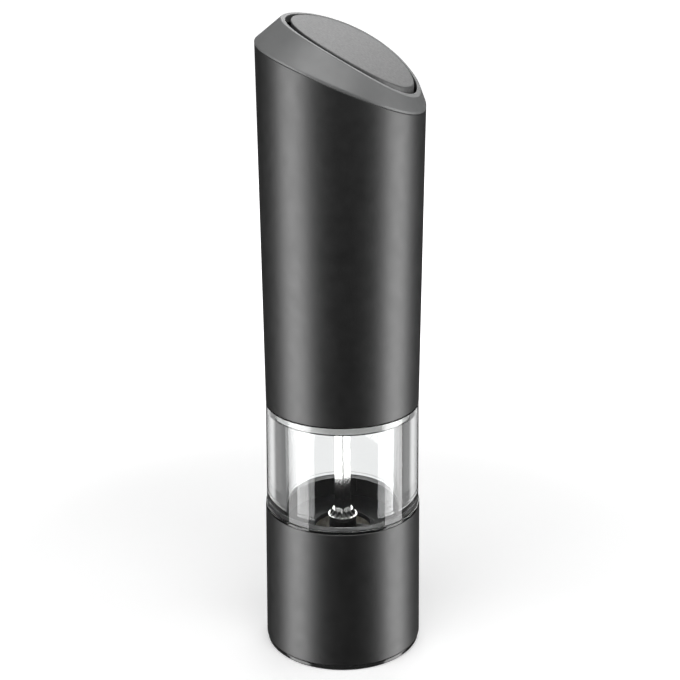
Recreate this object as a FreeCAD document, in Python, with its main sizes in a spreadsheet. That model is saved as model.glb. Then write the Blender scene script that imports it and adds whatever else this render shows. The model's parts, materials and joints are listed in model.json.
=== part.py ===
import FreeCAD, Part
import math
import os
from types import SimpleNamespace

import Sketcher
from FreeCAD import Placement, Rotation, Vector

# Battery pepper mill, in millimetres. The origin is the middle of the foot, +Z is up,
# and the slanted top falls towards +X.

doc = FreeCAD.newDocument("pepper_mill")
sheet = doc.addObject("Spreadsheet::Sheet", "Dims")
sub_parts = []

driving_dimensions = {
    # Base and its foot
    "base_radius": 27.5,
    "base_top_radius": 27.0,
    "base_height": 51.85,
    "base_wall": 1.8,
    "ledge_drop": 12.65,
    "ledge_thickness": 1.6,
    "ledge_width": 2.3,
    "cap_rim_radius": 27.1,
    "cap_rim_height": 1.4,
    "cap_floor": 1.2,
    "cap_collar_wall": 1.2,
    "cap_collar_height": 7.0,
    "cap_clearance": 0.25,
    "foot_gap": 0.35,
    # Clear container
    "window_height": 38.6,
    "window_bottom_radius": 26.6,
    "window_top_radius": 26.25,
    "window_gap": 0.3,
    "container_bore": 23.4,
    "window_bore": 20.0,
    "shelf_gap": 0.3,
    "container_flange": 1.1,
    "spigot_depth": 3.85,
    "spigot_wall": 1.1,
    "neck_height": 7.85,
    "neck_wall": 1.1,
    # Chamber cup that carries the grinder
    "seat_clearance": 0.1,
    "cup_wall": 1.6,
    "cup_floor_drop": 7.35,
    "cup_floor": 1.6,
    "cup_rim_drop": 0.55,
    "cup_rim_wall": 1.2,
    "cup_notch_width": 1.8,
    "cup_notch_depth": 0.5,
    "seal_height": 0.6,
    "throat_radius": 11.0,
    "well_wall": 1.6,
    "boss_circle": 19.6,
    "boss_radius": 2.3,
    # Grinder
    "stator_radius": 15.8,
    "stator_height": 19.0,
    "rotor_height": 17.4,
    "rotor_top_radius": 6.4,
    "rotor_foot_radius": 12.0,
    "rotor_drop": 1.3,
    "burr_gap": 0.35,
    "feed_gap": 4.2,
    "groove_depth_top": 1.1,
    "groove_depth_foot": 0.6,
    "retainer_thickness": 1.8,
    "retainer_gap": 1.2,
    # Drive shaft and what sits on it
    "shaft_side": 4.4,
    "shaft_fit": 0.05,
    "shaft_slide_fit": 0.1,
    "shaft_socket_fit": 0.15,
    "shaft_thread_radius": 2.0,
    "shaft_tail": 13.0,
    "bush_wall": 0.55,
    "bush_flange": 0.9,
    "bush_flange_reach": 0.6,
    "bearing_clearance": 0.05,
    "spider_hub_wall": 1.1,
    "spider_hub_rise": 2.5,
    "spider_ring_wall": 1.0,
    "spider_arm_width": 1.8,
    "rosette_radius": 5.1,
    "rosette_disc": 0.9,
    "rosette_fins": 2.0,
    "running_gap": 0.3,
    "rotor_spring_bore": 8.0,
    "rotor_spring_wire": 0.6,
    "knob_radius": 9.0,
    "knob_grip": 7.5,
    "knob_neck_radius": 5.0,
    "knob_neck": 6.0,
    "knob_flute_radius": 1.1,
    # Chassis that plugs into the container
    "plug_depth": 3.25,
    "plug_clearance": 0.25,
    "chassis_floor": 2.5,
    "chassis_flange_height": 2.5,
    "chassis_flange_gap": 0.4,
    "chassis_shoulder_radius": 22.6,
    "chassis_neck": 5.9,
    "groove_height": 2.0,
    "groove_depth": 0.9,
    "seal_clearance": 0.1,
    # Two planetary stages in one ring gear
    "gear_module": 0.6,
    "sun_teeth": 12,
    "planet_teeth": 18,
    "ring_teeth": 48,
    "pressure_angle": 25,
    "tooth_backlash": 0.12,
    "tooth_addendum": 0.8,
    "tooth_dedendum": 1.0,
    "ring_gear_radius": 19.65,
    "carrier_radius": 12.8,
    "output_hub_radius": 5.0,
    "output_disc": 4.5,
    "stage_gap": 0.3,
    "planet_height": 4.4,
    "carrier_disc": 1.6,
    "planet_pin_radius": 1.5,
    # Motor and its shroud
    "plate_thickness": 2.0,
    "motor_radius": 12.0,
    "motor_length": 27.5,
    "motor_wall": 1.0,
    "motor_face": 1.2,
    "motor_boss_radius": 3.1,
    "motor_boss_height": 1.4,
    "motor_shaft_radius": 1.2,
    "motor_cap_height": 2.2,
    "motor_cap_lip": 2.0,
    "magnet_thickness": 1.3,
    "magnet_height": 20.0,
    "armature_radius": 8.8,
    "armature_stack": 14.0,
    "armature_lead": 5.6,
    "commutator_radius": 3.0,
    "shroud_clearance": 1.0,
    "shroud_wall": 1.4,
    "shroud_flange": 1.6,
    "shroud_top_radius": 19.5,
    "shroud_window": 14.0,
    "motor_screw_circle": 8.0,
    "plate_screw_circle": 21.2,
    "cage_screw_circle": 17.0,
    # Batteries
    "cell_radius": 5.2,
    "cell_length": 43.5,
    "cell_nub_radius": 1.9,
    "cell_nub": 0.95,
    "cell_circle": 12.0,
    "contact_gap": 1.0,
    "contact_thickness": 0.4,
    "contact_inner": 9.0,
    "contact_outer": 15.0,
    "cage_disc": 2.2,
    "cage_radius": 23.4,
    "cage_column_radius": 6.2,
    "cage_column_bore": 3.0,
    "cage_rib": 0.8,
    "cage_rib_reach": 16.0,
    "lead_radius": 0.7,
    "lead_spacing": 3.2,
    # Switch
    "board_radius": 13.5,
    "board_thickness": 1.2,
    "board_standoff": 1.0,
    "board_screw_circle": 11.0,
    "switch_length": 12.0,
    "switch_width": 6.5,
    "switch_height": 6.4,
    "plunger_radius": 1.4,
    "plunger_height": 2.5,
    "button_spring_radius": 8.0,
    "button_spring_wire": 1.0,
    # Small screws
    "screw_radius": 0.9,
    "screw_head_radius": 1.8,
    "screw_head_height": 1.3,
    "screw_bite": 7.0,
    "screw_fit": 0.05,
    # Upper housing, bezel and button
    "sleeve_bottom_radius": 26.3,
    "sleeve_top_radius": 27.55,
    "sleeve_wall": 1.5,
    "sleeve_height": 114.05,
    "top_reach": 30.0,
    "seam_rise": 8.5,
    "seam_drop": 15.15,
    "bezel_height": 8.75,
    "rim_rise": 9.85,
    "rim_drop": 21.1,
    "rim_width": 1.4,
    "rim_thickness": 2.2,
    "rim_edge": 0.3,
    "bezel_band": 0.8,
    "bezel_skirt": 5.0,
    "bezel_skirt_wall": 1.2,
    "opening_length": 41.7,
    "opening_width": 42.5,
    "opening_shift": 3.5,
    "button_gap_high": 1.7,
    "button_gap_low": 0.95,
    "button_gap_side": 1.5,
    "button_proud_high": 0.85,
    "button_proud": 0.3,
    "button_proud_low": 1.6,
    "button_top": 2.4,
    "button_wall": 1.4,
    "button_depth": 6.5,
    "button_edge": 0.5,
    "button_travel": 2.0,
    "button_seat_radius": 9.2,
    "button_stem_radius": 3.0,
    "button_tab_width": 6.0,
    "button_tab_reach": 2.2,
    "button_tab_drop": 2.5,
    "button_tab_thickness": 1.5,
}

for row, (alias, number) in enumerate(driving_dimensions.items(), start=1):
    sheet.set(f"A{row}", alias)
    sheet.set(f"B{row}", str(number))
    sheet.setAlias(f"B{row}", alias)
doc.recompute()


class Size:
    # A length worked out from the sheet: its text binds a property, its value is the length now.
    def __init__(self, text):
        self.text = text

    @property
    def value(self):
        return float(sheet.evalExpression(self.text))

    def __add__(self, other):
        return Size(f"({self.text} + {text_of(other)})")

    def __sub__(self, other):
        return Size(f"({self.text} - {text_of(other)})")

    def __mul__(self, factor):
        return Size(f"({self.text} * {text_of(factor)})")

    def __neg__(self):
        return Size(f"(-1 * {self.text})")


def text_of(item):
    return item.text if isinstance(item, Size) else f"{item:.9f}"


dim = SimpleNamespace(**{alias: Size(f"Dims.{alias}") for alias in driving_dimensions})
zero = Size("0")
tiny = 1e-6


# Levels above the table

base_bottom = dim.cap_rim_height + dim.foot_gap
base_top = dim.base_height
ledge_top = base_top - dim.ledge_drop
cup_floor_top = base_top - dim.cup_floor_drop
cup_floor_under = cup_floor_top - dim.cup_floor
stator_bottom = cup_floor_under - dim.stator_height
retainer_bottom = stator_bottom - dim.retainer_thickness
rotor_top = cup_floor_under - dim.rotor_drop
rotor_bottom = rotor_top - dim.rotor_height
bush_bottom = rotor_top + dim.running_gap
bush_shoulder = bush_bottom + dim.bush_flange
spider_hub_bottom = bush_shoulder + dim.running_gap
spider_hub_top = cup_floor_top + dim.spider_hub_rise
rosette_bottom = spider_hub_top + dim.running_gap
spigot_bottom = base_top - dim.spigot_depth
sleeve_bottom = base_top + dim.window_height
window_top = sleeve_bottom - dim.window_gap
neck_top = window_top + dim.neck_height
plug_bottom = sleeve_bottom - dim.plug_depth
gear_floor = plug_bottom + dim.chassis_floor
flange_bottom = neck_top + dim.screw_fit
flange_top = flange_bottom + dim.chassis_flange_height
plate_bottom = flange_top + dim.chassis_neck
plate_top = plate_bottom + dim.plate_thickness
output_disc_bottom = gear_floor + dim.stage_gap
output_disc_top = output_disc_bottom + dim.output_disc
planet_two_bottom = output_disc_top + dim.stage_gap
planet_two_top = planet_two_bottom + dim.planet_height
carrier_bottom = planet_two_top + dim.stage_gap
carrier_top = carrier_bottom + dim.carrier_disc
planet_one_bottom = carrier_top + dim.stage_gap
planet_one_top = planet_one_bottom + dim.planet_height
motor_bottom = plate_top + dim.seat_clearance
motor_top = motor_bottom + dim.motor_length
motor_cap_top = motor_top + dim.motor_cap_height
shroud_top = motor_cap_top + dim.running_gap
cage_floor = shroud_top + dim.cage_disc
cell_bottom = cage_floor + dim.contact_thickness + dim.contact_gap
cell_top = cell_bottom + dim.cell_length
cage_roof = cell_top + dim.contact_gap + dim.contact_thickness
cage_top = cage_roof + dim.cage_disc
board_bottom = cage_top + dim.board_standoff
board_top = board_bottom + dim.board_thickness
switch_top = board_top + dim.switch_height
plunger_top = switch_top + dim.plunger_height
stem_bottom = plunger_top + dim.seat_clearance

# Radii that several pieces share

base_bore = dim.base_top_radius - dim.base_wall
cup_radius = base_bore - dim.seat_clearance
spigot_bore = cup_radius - dim.spigot_wall
cup_rim_radius = spigot_bore - dim.seat_clearance
cup_bore = cup_rim_radius - dim.cup_rim_wall
well_bore = dim.stator_radius + dim.seat_clearance
well_radius = well_bore + dim.well_wall
stator_foot_bore = dim.rotor_foot_radius + dim.burr_gap
stator_top_bore = dim.rotor_top_radius + dim.feed_gap
retainer_bore = stator_foot_bore + dim.retainer_gap
shaft_corner = dim.shaft_side * (math.sqrt(2) / 2)
bush_radius = shaft_corner + dim.bush_wall
spider_bore = bush_radius + dim.bearing_clearance
spider_hub = spider_bore + dim.spider_hub_wall
spider_radius = dim.throat_radius - dim.seat_clearance
sleeve_bore = dim.sleeve_bottom_radius - dim.sleeve_wall
neck_radius = dim.container_bore + dim.neck_wall
plug_radius = dim.container_bore - dim.plug_clearance
gear_seat = dim.ring_gear_radius + dim.seat_clearance
planet_circle = dim.gear_module * (dim.sun_teeth + dim.planet_teeth) * 0.5
motor_bore = dim.motor_radius - dim.motor_wall
shroud_bore = dim.motor_radius + dim.shroud_clearance
shroud_radius = shroud_bore + dim.shroud_wall
screw_hole = dim.screw_radius + dim.screw_fit

# The slanted top: each arch is an arc in the XZ plane through three heights


def arch_of(middle, rise, drop):
    return SimpleNamespace(high=middle + rise, middle=middle, low=middle - drop)


def moved(arch, lift):
    return SimpleNamespace(high=arch.high + lift, middle=arch.middle + lift, low=arch.low + lift)


seam = arch_of(sleeve_bottom + dim.sleeve_height, dim.seam_rise, dim.seam_drop)
rim = arch_of(seam.middle + dim.bezel_height, dim.rim_rise, dim.rim_drop)
button_face = SimpleNamespace(
    high=rim.high + dim.button_proud_high,
    middle=rim.middle + dim.button_proud,
    low=rim.low + dim.button_proud_low,
)
opening_half_length = dim.opening_length * 0.5
opening_half_width = dim.opening_width * 0.5


# Document objects


def bind(item, name, size):
    item.setExpression(name, size.text)


def keep(item, label):
    item.Label = label
    sub_parts.append(item)
    return item


def place(item, x=zero, y=zero, z=zero):
    for axis, size in zip("xyz", (x, y, z)):
        bind(item, f"Placement.Base.{axis}", size)
    return item


def origin_feature(body, role):
    return next(feature for feature in body.Origin.OriginFeatures if feature.Role == role)


def new_body(label):
    return keep(doc.addObject("PartDesign::Body", label), label)


def new_sketch(body, role, name, level=zero):
    sketch = body.newObject("Sketcher::SketchObject", name)
    sketch.AttachmentSupport = (origin_feature(body, role), [""])
    sketch.MapMode = "FlatFace"
    bind(sketch, "AttachmentOffset.Base.z", level)
    return sketch


def pin(sketch, geometry, point, x, y):
    for kind, size, axis in (("DistanceX", x, -2), ("DistanceY", y, -1)):
        if abs(size.value) < tiny:
            sketch.addConstraint(Sketcher.Constraint("PointOnObject", geometry, point, axis))
        else:
            number = sketch.addConstraint(Sketcher.Constraint(kind, geometry, point, size.value))
            bind(sketch, f"Constraints[{number}]", size)


def draw_outline(sketch, corners):
    first = sketch.GeometryCount
    spots = [Vector(x.value, y.value, 0) for x, y in corners]
    count = len(spots)
    for index in range(count):
        sketch.addGeometry(Part.LineSegment(spots[index], spots[(index + 1) % count]), False)
    for index in range(count):
        after = first + (index + 1) % count
        sketch.addConstraint(Sketcher.Constraint("Coincident", first + index, 2, after, 1))
    for index, (x, y) in enumerate(corners):
        pin(sketch, first + index, 1, x, y)


def draw_circles(sketch, circles):
    for x, y, radius in circles:
        circle = Part.Circle(Vector(x.value, y.value, 0), Vector(0, 0, 1), radius.value)
        geometry = sketch.addGeometry(circle, False)
        number = sketch.addConstraint(Sketcher.Constraint("Radius", geometry, radius.value))
        bind(sketch, f"Constraints[{number}]", radius)
        pin(sketch, geometry, 3, x, y)


def ring_places(circle, count, first_angle=0.0):
    places = []
    for index in range(count):
        angle = math.radians(first_angle) + 2 * math.pi * index / count
        places.append((circle * round(math.cos(angle), 9), circle * round(math.sin(angle), 9)))
    return places


def revolve(label, corners):
    body = new_body(label)
    sketch = new_sketch(body, "XZ_Plane", label + "_outline")
    draw_outline(sketch, corners)
    turned = body.newObject("PartDesign::Revolution", label + "_turned")
    turned.Profile = sketch
    turned.ReferenceAxis = (sketch, ["V_Axis"])
    turned.Angle = 360
    doc.recompute()
    return body


def pad(body, name, bottom, height, circles=(), corners=()):
    sketch = new_sketch(body, "XY_Plane", name + "_sketch", bottom)
    draw_circles(sketch, circles)
    if corners:
        draw_outline(sketch, corners)
    feature = body.newObject("PartDesign::Pad", name)
    feature.Profile = sketch
    bind(feature, "Length", height)
    doc.recompute()
    return feature


def pocket(body, name, top, depth, circles=(), corners=()):
    before = body.Shape.Volume
    sketch = new_sketch(body, "XY_Plane", name + "_sketch", top)
    draw_circles(sketch, circles)
    if corners:
        draw_outline(sketch, corners)
    feature = body.newObject("PartDesign::Pocket", name)
    feature.Profile = sketch
    bind(feature, "Length", depth)
    doc.recompute()
    if not body.Shape.Volume < before:
        raise RuntimeError(f"{name} cuts nothing")
    return feature


def repeat(body, feature, count):
    pattern = body.newObject("PartDesign::PolarPattern", feature.Name + "_ring")
    pattern.Originals = [feature]
    pattern.Axis = (origin_feature(body, "Z_Axis"), [""])
    pattern.Angle = 360
    pattern.Occurrences = count
    body.Tip = pattern
    doc.recompute()
    return pattern


def slab(left, right, front, back):
    return [(left, front), (right, front), (right, back), (left, back)]


def cylinder(name, radius, bottom, height, x=zero, y=zero):
    item = doc.addObject("Part::Cylinder", name)
    bind(item, "Radius", radius)
    bind(item, "Height", height)
    return place(item, x, y, bottom)


def boolean(kind, name, base, tool):
    item = doc.addObject(kind, name)
    item.Base = base
    item.Tool = tool
    return item


def group(label, items):
    item = doc.addObject("Part::Compound", label)
    item.Links = items
    return keep(item, label)


def shaped(label, shape):
    item = doc.addObject("Part::Feature", label)
    item.Shape = shape
    return item


def screws(label, places, under_head, shank_length, upwards):
    # Cheese-head screws with a round socket; an upward screw has its head below the joint.
    pieces = []
    for index, (x, y) in enumerate(places, start=1):
        name = f"{label}_{index}"
        head_bottom = under_head - dim.screw_head_height if upwards else under_head
        shank_bottom = under_head if upwards else under_head - shank_length
        socket_bottom = head_bottom if upwards else head_bottom + dim.screw_head_height * 0.5
        head = cylinder(name + "_head", dim.screw_head_radius, head_bottom, dim.screw_head_height, x, y)
        shank = cylinder(name + "_shank", dim.screw_radius, shank_bottom, shank_length, x, y)
        socket = cylinder(
            name + "_socket", dim.screw_radius, socket_bottom, dim.screw_head_height * 0.5, x, y
        )
        whole = boolean("Part::Fuse", name + "_whole", head, shank)
        pieces.append(boolean("Part::Cut", name, whole, socket))
    return group(label, pieces)


def coil(label, radius, wire, bottom, height, turns):
    # A round-wire spring whose wire stays inside the height it is given.
    climb = height - wire
    helix = doc.addObject("Part::Helix", label + "_line")
    bind(helix, "Radius", radius)
    bind(helix, "Height", climb)
    bind(helix, "Pitch", climb * (1.0 / turns))
    helix.SegmentLength = 0.25
    section = doc.addObject("Part::Circle", label + "_wire")
    bind(section, "Radius", wire * 0.5)
    section.Placement = Placement(Vector(radius.value, 0, 0), Rotation(Vector(1, 0, 0), 90))
    bind(section, "Placement.Base.x", radius)
    doc.recompute()
    item = doc.addObject("Part::Sweep", label)
    item.Sections = [section]
    item.Spine = (helix, [f"Edge{index + 1}" for index in range(len(helix.Shape.Edges))])
    item.Frenet = True
    item.Solid = True
    place(item, z=bottom + wire * 0.5)
    return keep(item, label)


# Gear teeth


def involute(angle):
    return math.tan(angle) - angle


def tooth_half_angle(teeth, width, radius):
    # Half the angle that a tooth of this width at the pitch circle covers at another radius.
    pressure = math.radians(dim.pressure_angle.value)
    pitch = dim.gear_module.value * teeth / 2
    base = pitch * math.cos(pressure)
    reach = math.acos(min(1.0, base / radius))
    return width / (2 * pitch) + involute(pressure) - involute(reach)


def gear_face(teeth, outward, inward, thinning):
    # A gear outline with its first tooth on +X; each flank is an arc through three involute points.
    module = dim.gear_module.value
    pitch = module * teeth / 2
    base = pitch * math.cos(math.radians(dim.pressure_angle.value))
    tip = pitch + outward * module
    root = pitch - inward * module
    start = max(root, base)
    width = math.pi * module / 2 - thinning
    radii = (start, (start + tip) / 2, tip)
    spreads = [tooth_half_angle(teeth, width, radius) for radius in radii]

    def spot(radius, angle):
        return Vector(radius * math.cos(angle), radius * math.sin(angle), 0)

    edges = []
    step = 2 * math.pi / teeth
    for index in range(teeth):
        middle = index * step
        rising = [spot(radius, middle - spread) for radius, spread in zip(radii, spreads)]
        falling = [spot(radius, middle + spread) for radius, spread in zip(radii, spreads)]
        root_in = spot(root, middle - spreads[0])
        root_out = spot(root, middle + spreads[0])
        next_root = spot(root, middle + step - spreads[0])
        if start - root > tiny:
            edges.append(Part.LineSegment(root_in, rising[0]).toShape())
        edges.append(Part.Arc(*rising).toShape())
        edges.append(Part.Arc(rising[2], spot(tip, middle), falling[2]).toShape())
        edges.append(Part.Arc(falling[2], falling[1], falling[0]).toShape())
        if start - root > tiny:
            edges.append(Part.LineSegment(falling[0], root_out).toShape())
        edges.append(Part.Arc(root_out, spot(root, middle + step / 2), next_root).toShape())
    return Part.Face(Part.Wire(edges))


def outer_gear(teeth, height, bore):
    face = gear_face(
        teeth, dim.tooth_addendum.value, dim.tooth_dedendum.value, dim.tooth_backlash.value
    )
    solid = face.extrude(Vector(0, 0, height))
    if bore > 0:
        solid = solid.cut(Part.makeCylinder(bore, height))
    return solid


def sun_gear(label, bottom, height, bore):
    # Turned half a tooth, so that a gap faces each planet.
    item = shaped(label, outer_gear(int(dim.sun_teeth.value), height.value, bore))
    half_tooth = Rotation(Vector(0, 0, 1), 180 / dim.sun_teeth.value)
    item.Placement = Placement(Vector(0, 0, bottom.value), half_tooth)
    return item


# Toothed cones of the burrs and the rosette


def star_wire(count, tip, root, level, twist):
    corners = []
    for index in range(2 * count):
        radius = tip if index % 2 == 0 else root
        angle = math.pi * index / count + math.radians(twist)
        corners.append(Vector(radius * math.cos(angle), radius * math.sin(angle), level))
    return Part.makePolygon(corners + corners[:1])


def star_cone(count, foot, top, twist):
    # Each end is (tip radius, root radius, level); the teeth lean over by the twist.
    lower = star_wire(count, foot[0], foot[1], foot[2], 0.0)
    upper = star_wire(count, top[0], top[1], top[2], twist)
    return Part.makeLoft([lower, upper], True, True)


def square_bar(side, bottom, height):
    return Part.makeBox(side, side, height, Vector(-side / 2, -side / 2, bottom))


shaft_turn = 66.0


def along_shaft(shape):
    # The square shaft stands with one corner towards the front of the mill.
    shape.rotate(Vector(), Vector(0, 0, 1), shaft_turn)
    return shape


# Base unit


revolve("base_housing", [
    (base_bore, base_bottom),
    (dim.base_radius, base_bottom),
    (dim.base_top_radius, base_top),
    (base_bore, base_top),
    (base_bore, ledge_top),
    (base_bore - dim.ledge_width, ledge_top),
    (base_bore - dim.ledge_width, ledge_top - dim.ledge_thickness),
    (base_bore, ledge_top - dim.ledge_thickness),
])

cap_collar_radius = base_bore - dim.cap_clearance
cap_collar_top = dim.cap_floor + dim.cap_collar_height
revolve("aroma_cap", [
    (zero, zero),
    (dim.cap_rim_radius, zero),
    (dim.cap_rim_radius, dim.cap_rim_height),
    (cap_collar_radius, dim.cap_rim_height),
    (cap_collar_radius, cap_collar_top),
    (cap_collar_radius - dim.cap_collar_wall, cap_collar_top),
    (cap_collar_radius - dim.cap_collar_wall, dim.cap_floor),
    (zero, dim.cap_floor),
])

seal_seat = spigot_bottom - dim.seal_height
cup_rim_top = base_top - dim.cup_rim_drop
chamber_cup = revolve("chamber_cup", [
    (dim.throat_radius, cup_floor_top),
    (dim.throat_radius, cup_floor_under),
    (well_bore, cup_floor_under),
    (well_bore, stator_bottom),
    (well_radius, stator_bottom),
    (well_radius, cup_floor_under),
    (cup_radius - dim.cup_wall, cup_floor_under),
    (cup_radius - dim.cup_wall, ledge_top),
    (cup_radius, ledge_top),
    (cup_radius, seal_seat),
    (cup_rim_radius, seal_seat),
    (cup_rim_radius, cup_rim_top),
    (cup_bore, cup_rim_top),
    (cup_bore, cup_floor_top),
])
boss_places = ring_places(dim.boss_circle, 3)
pad(
    chamber_cup, "retainer_bosses", stator_bottom, dim.stator_height + dim.cup_floor * 0.5,
    circles=[(x, y, dim.boss_radius) for x, y in boss_places],
)
pocket(
    chamber_cup, "boss_holes", stator_bottom + dim.screw_bite + dim.running_gap,
    dim.screw_bite + dim.running_gap, circles=[(x, y, screw_hole) for x, y in boss_places],
)
notch = pocket(
    chamber_cup, "rim_notch", cup_rim_top, dim.cup_floor_drop - dim.cup_rim_drop - dim.cup_notch_width,
    corners=slab(
        -dim.cup_notch_width * 0.5, dim.cup_notch_width * 0.5, zero, cup_bore + dim.cup_notch_depth
    ),
)
repeat(chamber_cup, notch, 3)

revolve("chamber_seal", [
    (spigot_bore, seal_seat),
    (cup_radius, seal_seat),
    (cup_radius, spigot_bottom),
    (spigot_bore, spigot_bottom),
])

flange_radius = dim.base_top_radius - dim.screw_fit
container_flange_top = base_top + dim.container_flange
revolve("pepper_container", [
    (spigot_bore, spigot_bottom),
    (cup_radius, spigot_bottom),
    (cup_radius, base_top),
    (flange_radius, base_top),
    (flange_radius, container_flange_top),
    (dim.window_bottom_radius, container_flange_top),
    (dim.window_top_radius, window_top),
    (neck_radius, window_top),
    (neck_radius, neck_top),
    (dim.container_bore, neck_top),
    (dim.container_bore, plug_bottom - dim.shelf_gap),
    (dim.window_bore, plug_bottom - dim.shelf_gap),
    (dim.window_bore, base_top + dim.cup_rim_drop),
    (spigot_bore, base_top + dim.cup_rim_drop),
])

stator_teeth = 16
stator_bore = star_cone(
    stator_teeth,
    (stator_foot_bore.value + dim.groove_depth_foot.value, stator_foot_bore.value, stator_bottom.value),
    (stator_top_bore.value + dim.groove_depth_top.value, stator_top_bore.value, cup_floor_under.value),
    -18.0,
)
stator_blank = Part.makeCylinder(
    dim.stator_radius.value, dim.stator_height.value, Vector(0, 0, stator_bottom.value)
)
keep(shaped("grinder_stator", stator_blank.cut(stator_bore)), "grinder_stator")

stator_retainer = revolve("stator_retainer", [
    (retainer_bore, retainer_bottom),
    (well_radius, retainer_bottom),
    (well_radius, stator_bottom),
    (retainer_bore, stator_bottom),
])
pad(
    stator_retainer, "retainer_ears", retainer_bottom, dim.retainer_thickness,
    circles=[(x, y, dim.boss_radius) for x, y in boss_places],
)
pocket(
    stator_retainer, "ear_holes", stator_bottom, dim.retainer_thickness,
    circles=[(x, y, screw_hole) for x, y in boss_places],
)
screws("retainer_screws", boss_places, retainer_bottom, dim.screw_bite + dim.retainer_thickness, True)

bearing_spider = revolve("bearing_spider", [
    (spider_radius - dim.spider_ring_wall, cup_floor_under),
    (spider_radius, cup_floor_under),
    (spider_radius, cup_floor_top),
    (spider_radius - dim.spider_ring_wall, cup_floor_top),
])
arm = pad(
    bearing_spider, "spider_arm", cup_floor_under, dim.cup_floor,
    corners=slab(
        spider_bore + dim.seat_clearance, spider_radius - dim.spider_ring_wall * 0.5,
        -dim.spider_arm_width * 0.5, dim.spider_arm_width * 0.5,
    ),
)
repeat(bearing_spider, arm, 3)
pad(
    bearing_spider, "spider_hub", spider_hub_bottom, spider_hub_top - spider_hub_bottom,
    circles=[(zero, zero, spider_hub), (zero, zero, spider_bore)],
)

# Turning pieces of the grinder

shaft_bottom = rotor_bottom - dim.shaft_tail
shaft_top = output_disc_top - dim.running_gap
shaft_shoulder = rotor_bottom + dim.running_gap
shaft_square = square_bar(
    dim.shaft_side.value, shaft_shoulder.value, (shaft_top - shaft_shoulder).value
)
shaft_tail = Part.makeCylinder(
    dim.shaft_thread_radius.value, (shaft_shoulder - shaft_bottom).value, Vector(0, 0, shaft_bottom.value)
)
keep(shaped("drive_shaft", along_shaft(shaft_square.fuse(shaft_tail))), "drive_shaft")


def square_hole(clearance, bottom, top):
    side = dim.shaft_side.value + 2 * clearance.value
    return along_shaft(square_bar(side, bottom.value, (top - bottom).value))


bush_tube = Part.makeCylinder(
    bush_radius.value, (rosette_bottom - bush_bottom).value, Vector(0, 0, bush_bottom.value)
)
bush_flange = Part.makeCylinder(
    (bush_radius + dim.bush_flange_reach).value, dim.bush_flange.value, Vector(0, 0, bush_bottom.value)
)
shaft_bush = bush_tube.fuse(bush_flange).cut(square_hole(dim.shaft_fit, bush_bottom, rosette_bottom))
keep(shaped("shaft_bush", shaft_bush), "shaft_bush")

fin_count = 14
fins_bottom = rosette_bottom + dim.rosette_disc
rosette_top = fins_bottom + dim.rosette_fins
rosette_disc = Part.makeCylinder(
    dim.rosette_radius.value, dim.rosette_disc.value, Vector(0, 0, rosette_bottom.value)
)
fin_foot = dim.rosette_radius.value - dim.running_gap.value
fin_top = bush_radius.value + dim.shaft_fit.value
rosette_fins = star_cone(
    fin_count,
    (fin_foot, fin_foot - 1.6 * dim.rosette_disc.value, fins_bottom.value),
    (fin_top, fin_top - dim.running_gap.value, rosette_top.value),
    0.0,
)
feed_rosette = rosette_disc.fuse(rosette_fins).cut(
    square_hole(dim.shaft_fit, rosette_bottom, rosette_top)
)
keep(shaped("feed_rosette", feed_rosette), "feed_rosette")

rotor_teeth = 14
rotor_cone = star_cone(
    rotor_teeth,
    (dim.rotor_foot_radius.value, (dim.rotor_foot_radius - dim.groove_depth_foot).value, rotor_bottom.value),
    (dim.rotor_top_radius.value, (dim.rotor_top_radius - dim.groove_depth_top * 0.5).value, rotor_top.value),
    26.0,
)
spring_bore_radius = shaft_corner + dim.rotor_spring_wire + dim.running_gap * 2
spring_bore_bottom = rotor_top - dim.rotor_spring_bore
rotor_counterbore = Part.makeCylinder(
    spring_bore_radius.value, dim.rotor_spring_bore.value, Vector(0, 0, spring_bore_bottom.value)
)
rotor_hole = square_hole(dim.shaft_slide_fit, rotor_bottom, rotor_top)
keep(shaped("grinder_rotor", rotor_cone.cut(rotor_counterbore).cut(rotor_hole)), "grinder_rotor")

coil(
    "rotor_spring", shaft_corner + dim.running_gap + dim.rotor_spring_wire * 0.5, dim.rotor_spring_wire,
    spring_bore_bottom + dim.screw_fit, bush_bottom - spring_bore_bottom - dim.screw_fit * 2, 5,
)

knob_top = rotor_bottom
knob_shoulder = knob_top - dim.knob_neck
knob_bottom = knob_shoulder - dim.knob_grip
knob_bore = dim.shaft_thread_radius + dim.bearing_clearance
adjust_knob = revolve("adjust_knob", [
    (knob_bore, knob_bottom),
    (dim.knob_radius, knob_bottom),
    (dim.knob_radius, knob_shoulder),
    (dim.knob_neck_radius, knob_shoulder),
    (dim.knob_neck_radius, knob_top),
    (knob_bore, knob_top),
])
flute = pocket(
    adjust_knob, "grip_flute", knob_shoulder, dim.knob_grip,
    circles=[(dim.knob_radius + dim.knob_flute_radius * 0.4, zero, dim.knob_flute_radius)],
)
repeat(adjust_knob, flute, 12)

# Chassis and gearbox

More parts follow.
